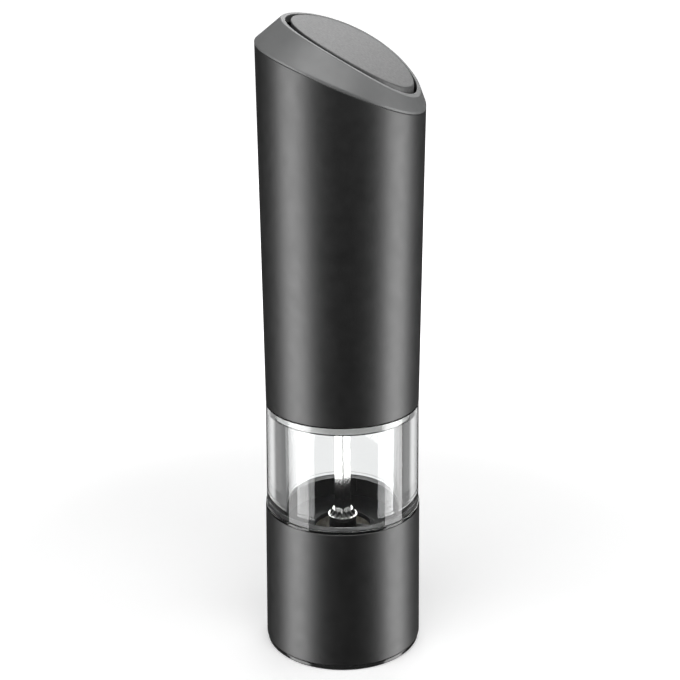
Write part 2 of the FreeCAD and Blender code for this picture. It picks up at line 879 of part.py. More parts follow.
seal_groove_radius = plug_radius - dim.groove_depth
seal_groove_bottom = window_top + dim.groove_height
seal_groove_top = seal_groove_bottom + dim.groove_height
flange_reach = sleeve_bore - dim.chassis_flange_gap
output_hole = dim.output_hub_radius + dim.bearing_clearance
chassis = revolve("chassis", [
    (output_hole, plug_bottom),
    (plug_radius, plug_bottom),
    (plug_radius, seal_groove_bottom),
    (seal_groove_radius, seal_groove_bottom),
    (seal_groove_radius, seal_groove_top),
    (plug_radius, seal_groove_top),
    (plug_radius, flange_bottom),
    (flange_reach, flange_bottom),
    (flange_reach, flange_top),
    (dim.chassis_shoulder_radius, flange_top),
    (dim.chassis_shoulder_radius, plate_bottom),
    (gear_seat, plate_bottom),
    (gear_seat, gear_floor),
    (output_hole, gear_floor),
])
plate_screw_places = ring_places(dim.plate_screw_circle, 3, 60.0)
pocket(
    chassis, "plate_screw_holes", plate_bottom, dim.screw_bite + dim.running_gap,
    circles=[(x, y, screw_hole) for x, y in plate_screw_places],
)

revolve("head_seal", [
    (seal_groove_radius, seal_groove_bottom),
    (dim.container_bore - dim.seal_clearance, seal_groove_bottom),
    (dim.container_bore - dim.seal_clearance, seal_groove_top),
    (seal_groove_radius, seal_groove_top),
])

ring_bore = gear_face(
    int(dim.ring_teeth.value), dim.tooth_dedendum.value, dim.tooth_addendum.value,
    -dim.tooth_backlash.value,
)
ring_height = (plate_bottom - gear_floor).value
ring_blank = Part.makeCylinder(dim.ring_gear_radius.value, ring_height)
ring_gear = shaped("ring_gear", ring_blank.cut(ring_bore.extrude(Vector(0, 0, ring_height))))
ring_gear.Placement = Placement(Vector(0, 0, gear_floor.value), Rotation())
keep(ring_gear, "ring_gear")

planet_bore = dim.planet_pin_radius + dim.bearing_clearance
planet_shape = outer_gear(int(dim.planet_teeth.value), dim.planet_height.value, planet_bore.value)


def planets(stage, bottom):
    for index, letter in enumerate("abc"):
        label = f"planet_{stage}_{letter}"
        item = shaped(label, planet_shape)
        turn = Rotation(Vector(0, 0, 1), 120 * index)
        item.Placement = Placement(turn.multVec(Vector(planet_circle.value, 0, bottom.value)), turn)
        keep(item, label)


planets("one", planet_one_bottom)
planets("two", planet_two_bottom)
pin_places = ring_places(planet_circle, 3)


def fused(label, items):
    item = doc.addObject("Part::MultiFuse", label)
    item.Shapes = items
    return item


def planet_pins(name, bottom, height):
    return [
        cylinder(f"{name}_pin_{index}", dim.planet_pin_radius, bottom, height, x, y)
        for index, (x, y) in enumerate(pin_places, start=1)
    ]


sun_two_bottom = planet_two_bottom + dim.stage_gap * 0.5
sun_two = sun_gear("second_sun", sun_two_bottom, carrier_bottom - sun_two_bottom, 0.0)
carrier_plate = cylinder("first_carrier_disc", dim.carrier_radius, carrier_bottom, dim.carrier_disc)
first_pins = planet_pins("first_carrier", carrier_top, dim.planet_height + dim.stage_gap)
keep(fused("first_carrier", [carrier_plate, sun_two] + first_pins), "first_carrier")

hub_bottom = plug_bottom + dim.stage_gap * 0.5
output_hub = cylinder("output_hub", dim.output_hub_radius, hub_bottom, output_disc_top - hub_bottom)
output_disc = cylinder("output_disc", dim.carrier_radius, output_disc_bottom, dim.output_disc)
output_pins = planet_pins("output_carrier", output_disc_top, dim.planet_height + dim.stage_gap)
output_blank = fused("output_blank", [output_hub, output_disc] + output_pins)
output_socket = shaped("output_socket", square_hole(dim.shaft_socket_fit, hub_bottom, output_disc_top))
keep(boolean("Part::Cut", "output_carrier", output_blank, output_socket), "output_carrier")

# Motor

motor_plate = revolve("motor_plate", [
    (dim.motor_boss_radius + dim.seat_clearance, plate_bottom),
    (dim.chassis_shoulder_radius, plate_bottom),
    (dim.chassis_shoulder_radius, plate_top),
    (dim.motor_boss_radius + dim.seat_clearance, plate_top),
])
motor_screw_places = ring_places(dim.motor_screw_circle, 2, 90.0)
motor_screw_sink = dim.plate_thickness * 0.6
pocket(
    motor_plate, "plate_holes", plate_top, dim.plate_thickness,
    circles=[(x, y, screw_hole) for x, y in plate_screw_places + motor_screw_places],
)
sink_radius = dim.screw_head_radius + dim.screw_fit
pocket(
    motor_plate, "screw_sinks", plate_bottom + motor_screw_sink, motor_screw_sink,
    circles=[(x, y, sink_radius) for x, y in motor_screw_places],
)

motor_screw_pieces = []
motor_screw_length = dim.plate_thickness + dim.seat_clearance + dim.motor_face - motor_screw_sink
for index, (x, y) in enumerate(motor_screw_places, start=1):
    name = f"motor_screw_{index}"
    head_bottom = plate_bottom + dim.screw_fit
    head_height = motor_screw_sink - dim.screw_fit
    head = cylinder(name + "_head", dim.screw_head_radius, head_bottom, head_height, x, y)
    shank_bottom = plate_bottom + motor_screw_sink
    shank = cylinder(name + "_shank", dim.screw_radius, shank_bottom, motor_screw_length, x, y)
    motor_screw_pieces.append(boolean("Part::Fuse", name, head, shank))
group("motor_screws", motor_screw_pieces)

shaft_hole = dim.motor_shaft_radius + dim.bearing_clearance
motor_boss_bottom = motor_bottom - dim.motor_boss_height
motor_can = revolve("motor_can", [
    (shaft_hole, motor_boss_bottom),
    (dim.motor_boss_radius, motor_boss_bottom),
    (dim.motor_boss_radius, motor_bottom),
    (dim.motor_radius, motor_bottom),
    (dim.motor_radius, motor_top),
    (motor_bore, motor_top),
    (motor_bore, motor_bottom + dim.motor_face),
    (shaft_hole, motor_bottom + dim.motor_face),
])
pocket(
    motor_can, "motor_face_holes", motor_bottom + dim.motor_face, dim.motor_face,
    circles=[(x, y, screw_hole) for x, y in motor_screw_places],
)

magnet_bottom = motor_bottom + dim.motor_face + dim.motor_cap_lip
magnet_sweep = 130.0
magnets = []
for index, first_angle in enumerate((-magnet_sweep / 2, 180 - magnet_sweep / 2), start=1):
    name = f"motor_magnet_{index}"
    outer = cylinder(name + "_outer", motor_bore - dim.screw_fit, magnet_bottom, dim.magnet_height)
    inner = cylinder(
        name + "_inner", motor_bore - dim.magnet_thickness, magnet_bottom, dim.magnet_height
    )
    outer.Angle = magnet_sweep
    outer.Placement.Rotation = Rotation(Vector(0, 0, 1), first_angle)
    magnets.append(boolean("Part::Cut", name, outer, inner))
group("motor_magnets", magnets)

motor_lip_radius = motor_bore - dim.seat_clearance
motor_lip_bottom = motor_top - dim.motor_cap_lip
shaft_end = motor_cap_top - dim.motor_cap_lip * 0.5
revolve("motor_end_cap", [
    (shaft_hole, motor_lip_bottom),
    (motor_lip_radius, motor_lip_bottom),
    (motor_lip_radius, motor_top),
    (dim.motor_radius, motor_top),
    (dim.motor_radius, motor_cap_top),
    (zero, motor_cap_top),
    (zero, shaft_end),
    (shaft_hole, shaft_end),
])

motor_shaft_bottom = planet_one_bottom + dim.stage_gap * 0.5
motor_shaft_length = shaft_end - dim.stage_gap - motor_shaft_bottom
keep(
    cylinder("motor_shaft", dim.motor_shaft_radius, motor_shaft_bottom, motor_shaft_length), "motor_shaft"
)
pinion_height = plate_bottom - dim.stage_gap - motor_shaft_bottom
motor_pinion = sun_gear("motor_pinion", motor_shaft_bottom, pinion_height, dim.motor_shaft_radius.value)
keep(motor_pinion, "motor_pinion")

stack_bottom = motor_bottom + dim.armature_lead
stack_top = stack_bottom + dim.armature_stack
winding_radius = dim.armature_radius - dim.magnet_thickness
commutator_top = motor_lip_bottom - dim.running_gap
armature = revolve("armature", [
    (dim.motor_shaft_radius, stack_bottom - dim.motor_cap_lip),
    (winding_radius, stack_bottom - dim.motor_cap_lip),
    (winding_radius, stack_bottom),
    (dim.armature_radius, stack_bottom),
    (dim.armature_radius, stack_top),
    (winding_radius, stack_top),
    (winding_radius, stack_top + dim.motor_cap_lip),
    (dim.commutator_radius, stack_top + dim.motor_cap_lip),
    (dim.commutator_radius, commutator_top),
    (dim.motor_shaft_radius, commutator_top),
])
slot = pocket(
    armature, "armature_slot", stack_top, dim.armature_stack,
    corners=slab(
        winding_radius, dim.armature_radius + dim.running_gap, -dim.magnet_thickness * 0.5,
        dim.magnet_thickness * 0.5,
    ),
)
repeat(armature, slot, 5)

shroud_flange_top = plate_top + dim.shroud_flange
motor_shroud = revolve("motor_shroud", [
    (shroud_bore, plate_top),
    (dim.chassis_shoulder_radius, plate_top),
    (dim.chassis_shoulder_radius, shroud_flange_top),
    (shroud_radius, shroud_flange_top),
    (shroud_radius, shroud_top - dim.shroud_flange),
    (dim.shroud_top_radius, shroud_top - dim.shroud_flange),
    (dim.shroud_top_radius, shroud_top),
    (shroud_bore, shroud_top),
])
cage_screw_places = ring_places(dim.cage_screw_circle, 3, 30.0)
pocket(
    motor_shroud, "shroud_foot_holes", shroud_flange_top, dim.shroud_flange,
    circles=[(x, y, screw_hole) for x, y in plate_screw_places],
)
pocket(
    motor_shroud, "shroud_top_holes", shroud_top, dim.shroud_flange,
    circles=[(x, y, screw_hole) for x, y in cage_screw_places],
)
shroud_window_top = shroud_top - dim.shroud_flange - dim.shroud_wall * 2
shroud_window = pocket(
    motor_shroud, "shroud_window", shroud_window_top,
    shroud_window_top - shroud_flange_top - dim.shroud_wall * 2,
    corners=slab(-shroud_radius, zero, -dim.shroud_window * 0.5, dim.shroud_window * 0.5),
)
repeat(motor_shroud, shroud_window, 3)
screws(
    "plate_screws", plate_screw_places, shroud_flange_top,
    dim.shroud_flange + dim.plate_thickness + dim.screw_bite, False,
)

# Battery cage

cage = revolve("battery_cage", [
    (dim.cage_column_bore, shroud_top),
    (dim.cage_radius, shroud_top),
    (dim.cage_radius, cage_floor),
    (dim.cage_column_radius, cage_floor),
    (dim.cage_column_radius, cage_roof),
    (dim.cage_radius, cage_roof),
    (dim.cage_radius, cage_top),
    (dim.cage_column_bore, cage_top),
])
cell_places = ring_places(dim.cell_circle, 6)
rib = pad(
    cage, "cage_rib", cell_bottom, dim.cell_length,
    corners=slab(
        dim.cage_column_bore + dim.cage_rib, dim.cage_rib_reach, -dim.cage_rib * 0.5, dim.cage_rib * 0.5
    ),
)
rib.Profile[0].AttachmentOffset = Placement(
    rib.Profile[0].AttachmentOffset.Base, Rotation(Vector(0, 0, 1), 30)
)
repeat(cage, rib, 6)
board_screw_places = ring_places(dim.board_screw_circle, 3, 30.0)
pad(
    cage, "board_posts", cage_top, dim.board_standoff,
    circles=[(x, y, dim.boss_radius) for x, y in board_screw_places],
)
pocket(
    cage, "board_post_holes", board_bottom, dim.board_standoff + dim.cage_disc,
    circles=[(x, y, screw_hole) for x, y in board_screw_places],
)
pocket(
    cage, "cage_foot_holes", cage_floor, dim.cage_disc,
    circles=[(x, y, screw_hole) for x, y in cage_screw_places],
)
screws(
    "cage_screws", cage_screw_places, shroud_top - dim.shroud_flange,
    dim.shroud_flange + dim.cage_disc - dim.running_gap, True,
)

cells = []
for index, (x, y) in enumerate(cell_places, start=1):
    name = f"cell_{index}"
    nub_bottom = cell_top if index % 2 else cell_bottom - dim.cell_nub
    can = cylinder(name + "_can", dim.cell_radius, cell_bottom, dim.cell_length, x, y)
    nub = cylinder(name + "_nub", dim.cell_nub_radius, nub_bottom, dim.cell_nub, x, y)
    cells.append(boolean("Part::Fuse", name, can, nub))
group("aaa_cells", cells)


def contacts(label, bottom, sectors):
    pieces = []
    for index, (first_angle, sweep) in enumerate(sectors, start=1):
        name = f"{label}_{index}"
        outer = cylinder(name + "_outer", dim.contact_outer, bottom, dim.contact_thickness)
        inner = cylinder(name + "_inner", dim.contact_inner, bottom, dim.contact_thickness)
        outer.Angle = sweep
        outer.Placement.Rotation = Rotation(Vector(0, 0, 1), first_angle)
        pieces.append(boolean("Part::Cut", name, outer, inner))
    return group(label, pieces)


pair_sweep = 84.0
single_sweep = 24.0
contacts("lower_contacts", cage_floor, [(-12, pair_sweep), (108, pair_sweep), (228, pair_sweep)])
contacts(
    "upper_contacts", cage_roof - dim.contact_thickness,
    [(48, pair_sweep), (168, pair_sweep), (-12, single_sweep), (288, single_sweep)],
)

# Each leaf bows up from its contact plate to the flat end of a cell.
leaf_half = dim.cell_radius.value * 0.6
leaf_rise = dim.contact_gap.value - dim.screw_fit.value
leaf_skin = dim.contact_thickness.value * 0.6
leaf_width = dim.cell_nub_radius.value * 1.4
leaf_upper = Part.Arc(
    Vector(-leaf_half, 0, leaf_skin), Vector(0, 0, leaf_rise), Vector(leaf_half, 0, leaf_skin)
)
leaf_lower = Part.Arc(
    Vector(leaf_half, 0, 0), Vector(0, 0, leaf_rise - leaf_skin), Vector(-leaf_half, 0, 0)
)
leaf_sides = [
    Part.LineSegment(Vector(leaf_half, 0, leaf_skin), Vector(leaf_half, 0, 0)),
    Part.LineSegment(Vector(-leaf_half, 0, 0), Vector(-leaf_half, 0, leaf_skin)),
]
leaf_wire = Part.Wire(
    [leaf_upper.toShape(), leaf_sides[0].toShape(), leaf_lower.toShape(), leaf_sides[1].toShape()]
)
leaf_shape = Part.Face(leaf_wire).extrude(Vector(0, leaf_width, 0))
leaf_shape.translate(Vector(0, -leaf_width / 2, 0))
leaves = []
for index, (x, y) in enumerate(cell_places, start=1):
    leaf = shaped(f"contact_leaf_{index}", leaf_shape)
    bearing = Rotation(Vector(0, 0, 1), 60 * (index - 1) + 90)
    if index % 2:
        spot = Vector(x.value, y.value, (cell_bottom - dim.contact_gap).value)
        leaf.Placement = Placement(spot, bearing)
    else:
        spot = Vector(x.value, y.value, (cell_top + dim.contact_gap).value)
        leaf.Placement = Placement(spot, bearing.multiply(Rotation(Vector(1, 0, 0), 180)))
    leaves.append(leaf)
group("contact_leaves", leaves)

lead_bottom = motor_cap_top
leads = [
    cylinder(f"motor_lead_{index}", dim.lead_radius, lead_bottom, board_bottom - lead_bottom, x)
    for index, x in enumerate((dim.lead_spacing * 0.5, -dim.lead_spacing * 0.5), start=1)
]
group("motor_leads", leads)

# Switch

board = new_body("switch_board")
pad(board, "board_disc", board_bottom, dim.board_thickness, circles=[(zero, zero, dim.board_radius)])
pocket(
    board, "board_holes", board_top, dim.board_thickness,
    circles=[(x, y, screw_hole) for x, y in board_screw_places],
)
screws(
    "board_screws", board_screw_places, board_top,
    dim.board_thickness + dim.board_standoff + dim.cage_disc - dim.running_gap, False,
)

plunger_hole = dim.plunger_radius + dim.bearing_clearance
plunger_bottom = switch_top - dim.button_travel - dim.running_gap
switch_body = new_body("switch_body")
pad(
    switch_body, "switch_case", board_top, dim.switch_height,
    corners=slab(
        -dim.switch_length * 0.5, dim.switch_length * 0.5, -dim.switch_width * 0.5, dim.switch_width * 0.5
    ),
)
pocket(
    switch_body, "plunger_hole", switch_top, dim.button_travel * 2 + dim.running_gap * 2,
    circles=[(zero, zero, plunger_hole)],
)
keep(
    cylinder("switch_plunger", dim.plunger_radius, plunger_bottom, plunger_top - plunger_bottom),
    "switch_plunger",
)

button_seat = stem_bottom + dim.button_travel * 2
coil(
    "button_spring", dim.button_spring_radius, dim.button_spring_wire, board_top + dim.seat_clearance,
    button_seat - board_top - dim.seat_clearance * 2, 5,
)

# Upper housing

housing_top = seam.high
upper_housing = revolve("upper_housing", [
    (sleeve_bore, sleeve_bottom),
    (dim.sleeve_bottom_radius, sleeve_bottom),
    (dim.sleeve_top_radius, housing_top),
    (dim.sleeve_top_radius - dim.sleeve_wall, housing_top),
])
slant = new_sketch(upper_housing, "XZ_Plane", "seam_arch")
slant_roof = housing_top + dim.seam_rise
slant.addGeometry(
    Part.Arc(
        Vector(-dim.top_reach.value, seam.high.value, 0),
        Vector(0, seam.middle.value, 0),
        Vector(dim.top_reach.value, seam.low.value, 0),
    ),
    False,
)
slant_corners = [
    (dim.top_reach, seam.low), (dim.top_reach, slant_roof),
    (-dim.top_reach, slant_roof), (-dim.top_reach, seam.high),
]
for (start_x, start_y), (end_x, end_y) in zip(slant_corners, slant_corners[1:]):
    slant.addGeometry(
        Part.LineSegment(
            Vector(start_x.value, start_y.value, 0), Vector(end_x.value, end_y.value, 0)
        ),
        False,
    )
for geometry, point, other, other_point in ((0, 1, 1, 1), (1, 2, 2, 1), (2, 2, 3, 1), (3, 2, 0, 2)):
    slant.addConstraint(Sketcher.Constraint("Coincident", geometry, point, other, other_point))
for geometry, corner in zip((1, 2, 3), slant_corners):
    pin(slant, geometry, 1, *corner)
pin(slant, 3, 2, *slant_corners[3])
slant_middle = slant.addGeometry(Part.Point(Vector(0, seam.middle.value, 0)), True)
pin(slant, slant_middle, 1, zero, seam.middle)
slant.addConstraint(Sketcher.Constraint("PointOnObject", slant_middle, 1, 0))
whole_volume = upper_housing.Shape.Volume
seam_cut = upper_housing.newObject("PartDesign::Pocket", "seam_cut")
seam_cut.Profile = slant
seam_cut.SideType = "Symmetric"
bind(seam_cut, "Length", dim.top_reach * 4)
doc.recompute()
if not upper_housing.Shape.Volume < whole_volume:
    raise RuntimeError("the seam cut misses the housing")


# Bezel and button: vertical prisms that end in arches, and the bevel ruled between two arched edges


def below(arch):
    reach = dim.top_reach.value
    floor = plug_bottom.value
    high = Vector(-reach, -reach, arch.high.value)
    middle = Vector(0, -reach, arch.middle.value)
    low = Vector(reach, -reach, arch.low.value)
    low_foot = Vector(reach, -reach, floor)
    high_foot = Vector(-reach, -reach, floor)
    edges = [
        Part.Arc(high, middle, low).toShape(),
        Part.LineSegment(low, low_foot).toShape(),
        Part.LineSegment(low_foot, high_foot).toShape(),
        Part.LineSegment(high_foot, high).toShape(),
    ]
    return Part.Face(Part.Wire(edges)).extrude(Vector(0, 2 * reach, 0))


def oval_prism(half_length, half_width, shift):
    # Stretched from a circle, so that its edge always starts on +X like the round wall's.
    stretch = FreeCAD.Matrix()
    stretch.scale(half_length, half_width, 1)
    oval = Part.makeCircle(1).transformGeometry(stretch)
    oval.translate(Vector(shift, 0, sleeve_bottom.value))
    return Part.Face(Part.Wire([oval])).extrude(Vector(0, 0, rim.high.value))


def round_prism(inset):
    # The housing's own outer taper, drawn in by an inset and carried up past the top.
    taper = (dim.sleeve_top_radius - dim.sleeve_bottom_radius).value / (housing_top - sleeve_bottom).value
    height = 2 * (housing_top - sleeve_bottom).value
    foot = dim.sleeve_bottom_radius.value - inset
    return Part.makeCone(foot, foot + taper * height, height, Vector(0, 0, sleeve_bottom.value))


def between(prism, upper, lower):
    return prism.common(below(upper)).cut(below(lower))


def arched_face(prism, arch):
    cut_prism = prism.common(below(arch))
    for face in cut_prism.Faces:
        if isinstance(face.Surface, Part.Cylinder) and abs(face.Surface.Axis.y) > 0.999:
            return face
    raise RuntimeError("no arched face")


def height_on(arch, x):
    reach = dim.top_reach.value
    arc = Part.Arc(
        Vector(-reach, arch.high.value, 0), Vector(0, arch.middle.value, 0), Vector(reach, arch.low.value, 0)
    )
    circle = arc.toShape().Curve
    return circle.Center.y + math.sqrt(circle.Radius ** 2 - (x - circle.Center.x) ** 2)


def ruled_solid(lower_face, upper_face):
    side = Part.makeLoft([lower_face.OuterWire, upper_face.OuterWire], False, True)
    shell = Part.Shell(side.Faces + [lower_face, upper_face])
    shell.sewShape()
    solid = Part.Solid(shell)
    if solid.Volume < 0:
        solid.reverse()
    return solid


opening = oval_prism(opening_half_length.value, opening_half_width.value, dim.opening_shift.value)
ceiling_outline = oval_prism(
    (opening_half_length + dim.rim_edge).value, (opening_half_width + dim.rim_edge).value,
    dim.opening_shift.value,
)
ceiling = moved(rim, -dim.rim_thickness)
skirt_inset = (dim.sleeve_wall + dim.seat_clearance).value
skirt_bore_inset = skirt_inset + dim.bezel_skirt_wall.value
skirt_bottom = moved(seam, -dim.bezel_skirt)


def bevel_facet(spread, start):
    # A bevel from the housing wall to the rim; the spread opens its upper outline towards the wall.
    wall = dim.sleeve_top_radius.value
    half_length = (opening_half_length + dim.rim_width).value
    half_width = (opening_half_width + dim.rim_width).value
    outline = oval_prism(
        half_length + spread * (wall - half_length), half_width + spread * (wall - half_width),
        dim.opening_shift.value * (1 - spread),
    )
    edge = moved(seam, dim.bezel_band * start)
    slope = ruled_solid(arched_face(round_prism(0.0), edge), arched_face(outline, rim))
    return slope.fuse(between(round_prism(0.0), edge, seam))


# Two steeper facets take the corner off between the wall and the bevel.
bevel = bevel_facet(0.0, 1.0)
for spread, start in ((1 / 3, 0.7), (2 / 3, 0.45)):
    bevel = bevel.common(bevel_facet(spread, start))
hollow = ruled_solid(
    arched_face(round_prism(skirt_bore_inset + dim.rim_edge.value), moved(seam, -dim.rim_edge)),
    arched_face(ceiling_outline, ceiling),
)
skirt = between(round_prism(skirt_inset), moved(seam, dim.rim_edge), skirt_bottom)
skirt_bore = between(round_prism(skirt_bore_inset), moved(seam, -dim.rim_edge * 0.5), skirt_bottom)
top_bezel = bevel.fuse(skirt).cut(hollow).cut(skirt_bore).cut(opening).removeSplitter()
keep(shaped("top_bezel", top_bezel), "top_bezel")

button_left = dim.opening_shift - opening_half_length + dim.button_gap_high
button_right = dim.opening_shift + opening_half_length - dim.button_gap_low
button_half_length = (button_right - button_left) * 0.5
button_half_width = opening_half_width - dim.button_gap_side
button_shift = (button_right + button_left) * 0.5


def button_prism(inset):
    return oval_prism(
        button_half_length.value - inset, button_half_width.value - inset, button_shift.value
    )


button_under = moved(button_face, -dim.button_top)
button_foot = moved(button_face, -dim.button_depth)
button_cap = between(button_prism(0.0), button_face, button_under)
cap_edge = max(button_cap.Edges, key=lambda edge: edge.CenterOfMass.z if edge.isClosed() else 0.0)
button_cap = button_cap.makeFillet(dim.button_edge.value, [cap_edge])
button_skirt = between(button_prism(0.0), moved(button_under, dim.rim_edge), button_foot)
button_skirt = button_skirt.cut(button_prism(dim.button_wall.value))
below_button = below(moved(button_under, dim.rim_edge))


def button_post(radius, bottom):
    tall = rim.high.value - bottom.value
    return Part.makeCylinder(radius.value, tall, Vector(0, 0, bottom.value)).common(below_button)


seat_bore = (dim.button_seat_radius - dim.button_wall * 2).value
seat_hollow = Part.makeCylinder(seat_bore, rim.high.value, Vector(0, 0, button_seat.value))
button_seat_ring = button_post(dim.button_seat_radius, button_seat).cut(seat_hollow)
button_stem = button_post(dim.button_stem_radius, stem_bottom)
tab_top = height_on(ceiling, dim.button_tab_width.value / 2) - dim.button_tab_drop.value
tab_bottom = tab_top - dim.button_tab_thickness.value
tab_reach = (button_half_width + dim.button_tab_reach).value
button_tabs = Part.makeBox(
    dim.button_tab_width.value, 2 * tab_reach, dim.button_tab_thickness.value,
    Vector(-dim.button_tab_width.value / 2, -tab_reach, tab_bottom),
).cut(button_prism(dim.button_wall.value * 0.5))
push_button = button_cap.fuse([button_skirt, button_seat_ring, button_stem, button_tabs])
keep(shaped("push_button", push_button.removeSplitter()), "push_button")

# Every piece is sound before any file is written

doc.recompute()
for item in doc.Objects:
    if "Invalid" in item.State or "Error" in item.State:
        raise RuntimeError(f"{item.Label} failed: {item.State}")
for item in sub_parts:
    if item.Shape.isNull() or not item.Shape.isValid() or not item.Shape.Solids:
        raise RuntimeError(f"{item.Label} has no sound shape")

os.makedirs("parts", exist_ok=True)
for item in sub_parts:
    item.Shape.exportStep(f"parts/{item.Label}.step")
    box = item.Shape.BoundBox
    print(
        f"{item.Label}: {len(item.Shape.Solids)} solid(s), {item.Shape.Volume:.1f} mm3,"
        f" z {box.ZMin:.2f} to {box.ZMax:.2f}"
    )
print(f"{len(sub_parts)} pieces written")
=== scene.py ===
import json
import math

import bmesh
import bpy
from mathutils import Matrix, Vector


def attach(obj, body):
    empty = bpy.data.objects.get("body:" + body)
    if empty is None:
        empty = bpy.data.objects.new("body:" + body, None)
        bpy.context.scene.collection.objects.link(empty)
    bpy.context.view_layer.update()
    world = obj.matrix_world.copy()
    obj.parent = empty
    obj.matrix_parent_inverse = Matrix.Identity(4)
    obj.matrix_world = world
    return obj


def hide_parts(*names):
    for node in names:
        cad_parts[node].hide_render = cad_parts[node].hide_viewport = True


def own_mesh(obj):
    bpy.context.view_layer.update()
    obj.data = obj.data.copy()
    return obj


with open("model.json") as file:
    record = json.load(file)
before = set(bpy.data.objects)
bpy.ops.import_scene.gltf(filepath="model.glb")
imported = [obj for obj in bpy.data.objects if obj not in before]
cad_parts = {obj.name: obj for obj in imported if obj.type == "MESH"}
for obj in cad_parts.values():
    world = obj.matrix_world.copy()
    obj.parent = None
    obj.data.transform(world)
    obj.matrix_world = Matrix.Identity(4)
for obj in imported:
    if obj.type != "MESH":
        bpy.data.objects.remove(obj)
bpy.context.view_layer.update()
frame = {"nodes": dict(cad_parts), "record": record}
cadNodes = frame["nodes"]
mm = 0.001


# mesh helpers: shells are rings of points joined by quads

roundSteps = 5  # facets in a rounded edge
roundTurns = 240  # points in a full circle
holdShare = 0.3  # how far beyond a rounded edge its holding points sit, as a share of the edge
poleRadius = 0.05  # a capped lathe stops this close to its axis, in mm


def ringMesh(name, shells, sharpAngle=34):
    # a shell is (rings, closed, capped): closed joins the last ring to the first, capped fills both ends
    bm = bmesh.new()
    for rings, closed, capped in shells:
        made = [[bm.verts.new(point) for point in ring] for ring in rings]
        pairs = list(zip(made, made[1:]))
        if closed:
            pairs.append((made[-1], made[0]))
        for low, high in pairs:
            for i in range(len(low)):
                j = (i + 1) % len(low)
                bm.faces.new((low[i], low[j], high[j], high[i]))
        if capped:
            bm.faces.new(made[0])
            bm.faces.new(made[-1])
    bmesh.ops.recalc_face_normals(bm, faces=bm.faces)
    mesh = bpy.data.meshes.new(name)
    bm.to_mesh(mesh)
    bm.free()
    for face in mesh.polygons:
        face.use_smooth = True
    mesh.set_sharp_from_angle(angle=math.radians(sharpAngle))
    piece = bpy.data.objects.new(name, mesh)
    bpy.context.collection.objects.link(piece)
    return piece


def softCorner(before, corner, after, reach):
    # a rounded corner with a holding point on each side, so the flats beside it stay flat
    towardsBefore = (before - corner).normalized()
    towardsAfter = (after - corner).normalized()
    start = corner + towardsBefore * reach
    end = corner + towardsAfter * reach
    points = [start + towardsBefore * reach * holdShare]
    for step in range(roundSteps + 1):
        t = step / roundSteps
        points.append(start * (1 - t) ** 2 + corner * 2 * t * (1 - t) + end * t * t)
    points.append(end + towardsAfter * reach * holdShare)
    return points


def softOutline(corners):
    # corners are (point, reach); a reach of 0 leaves the corner sharp
    points = []
    for i, (corner, reach) in enumerate(corners):
        if reach == 0:
            points.append(corner)
        else:
            before = corners[i - 1][0]
            after = corners[(i + 1) % len(corners)][0]
            points += softCorner(before, corner, after, reach)
    return points


def latheRings(profile, turns=roundTurns):
    # profile is (radius, height, edge reach) in mm
    outline = softOutline([(Vector((r, z)), reach) for r, z, reach in profile])
    rings = []
    for r, z in outline:
        ring = []
        for i in range(turns):
            turn = 2 * math.pi * i / turns
            ring.append(Vector((r * math.cos(turn), r * math.sin(turn), z)) * mm)
        rings.append(ring)
    return rings


def latheShell(profile, turns=roundTurns):
    return latheRings(profile, turns), True, False


def copyOfNode(name, node):
    piece = bpy.data.objects.new(name, cadNodes[node].data.copy())
    bpy.context.collection.objects.link(piece)
    return piece


def standsFor(piece, node, body, material):
    piece.data.materials.clear()
    piece.data.materials.append(material)
    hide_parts(node)
    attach(piece, body)


# finishes

noiseRange = (0.3, 0.7)  # the part of a noise that carries a finish from one end to the other


def addNode(tree, kind, place, **values):
    node = tree.nodes.new(kind)
    node.location = place
    for name, value in values.items():
        setattr(node, name, value)
    return node


def noiseAt(tree, coords, grain, detail, place):
    noise = addNode(tree, "ShaderNodeTexNoise", place)
    noise.inputs["Scale"].default_value = 1 / (grain * mm)
    noise.inputs["Detail"].default_value = detail
    tree.links.new(coords, noise.inputs["Vector"])
    return noise.outputs["Fac"]


def rangeAt(tree, source, fromRange, toRange, place, **values):
    node = addNode(tree, "ShaderNodeMapRange", place, **values)
    node.inputs["From Min"].default_value = fromRange[0]
    node.inputs["From Max"].default_value = fromRange[1]
    node.inputs["To Min"].default_value = toRange[0]
    node.inputs["To Max"].default_value = toRange[1]
    tree.links.new(source, node.inputs["Value"])
    return node.outputs["Result"]


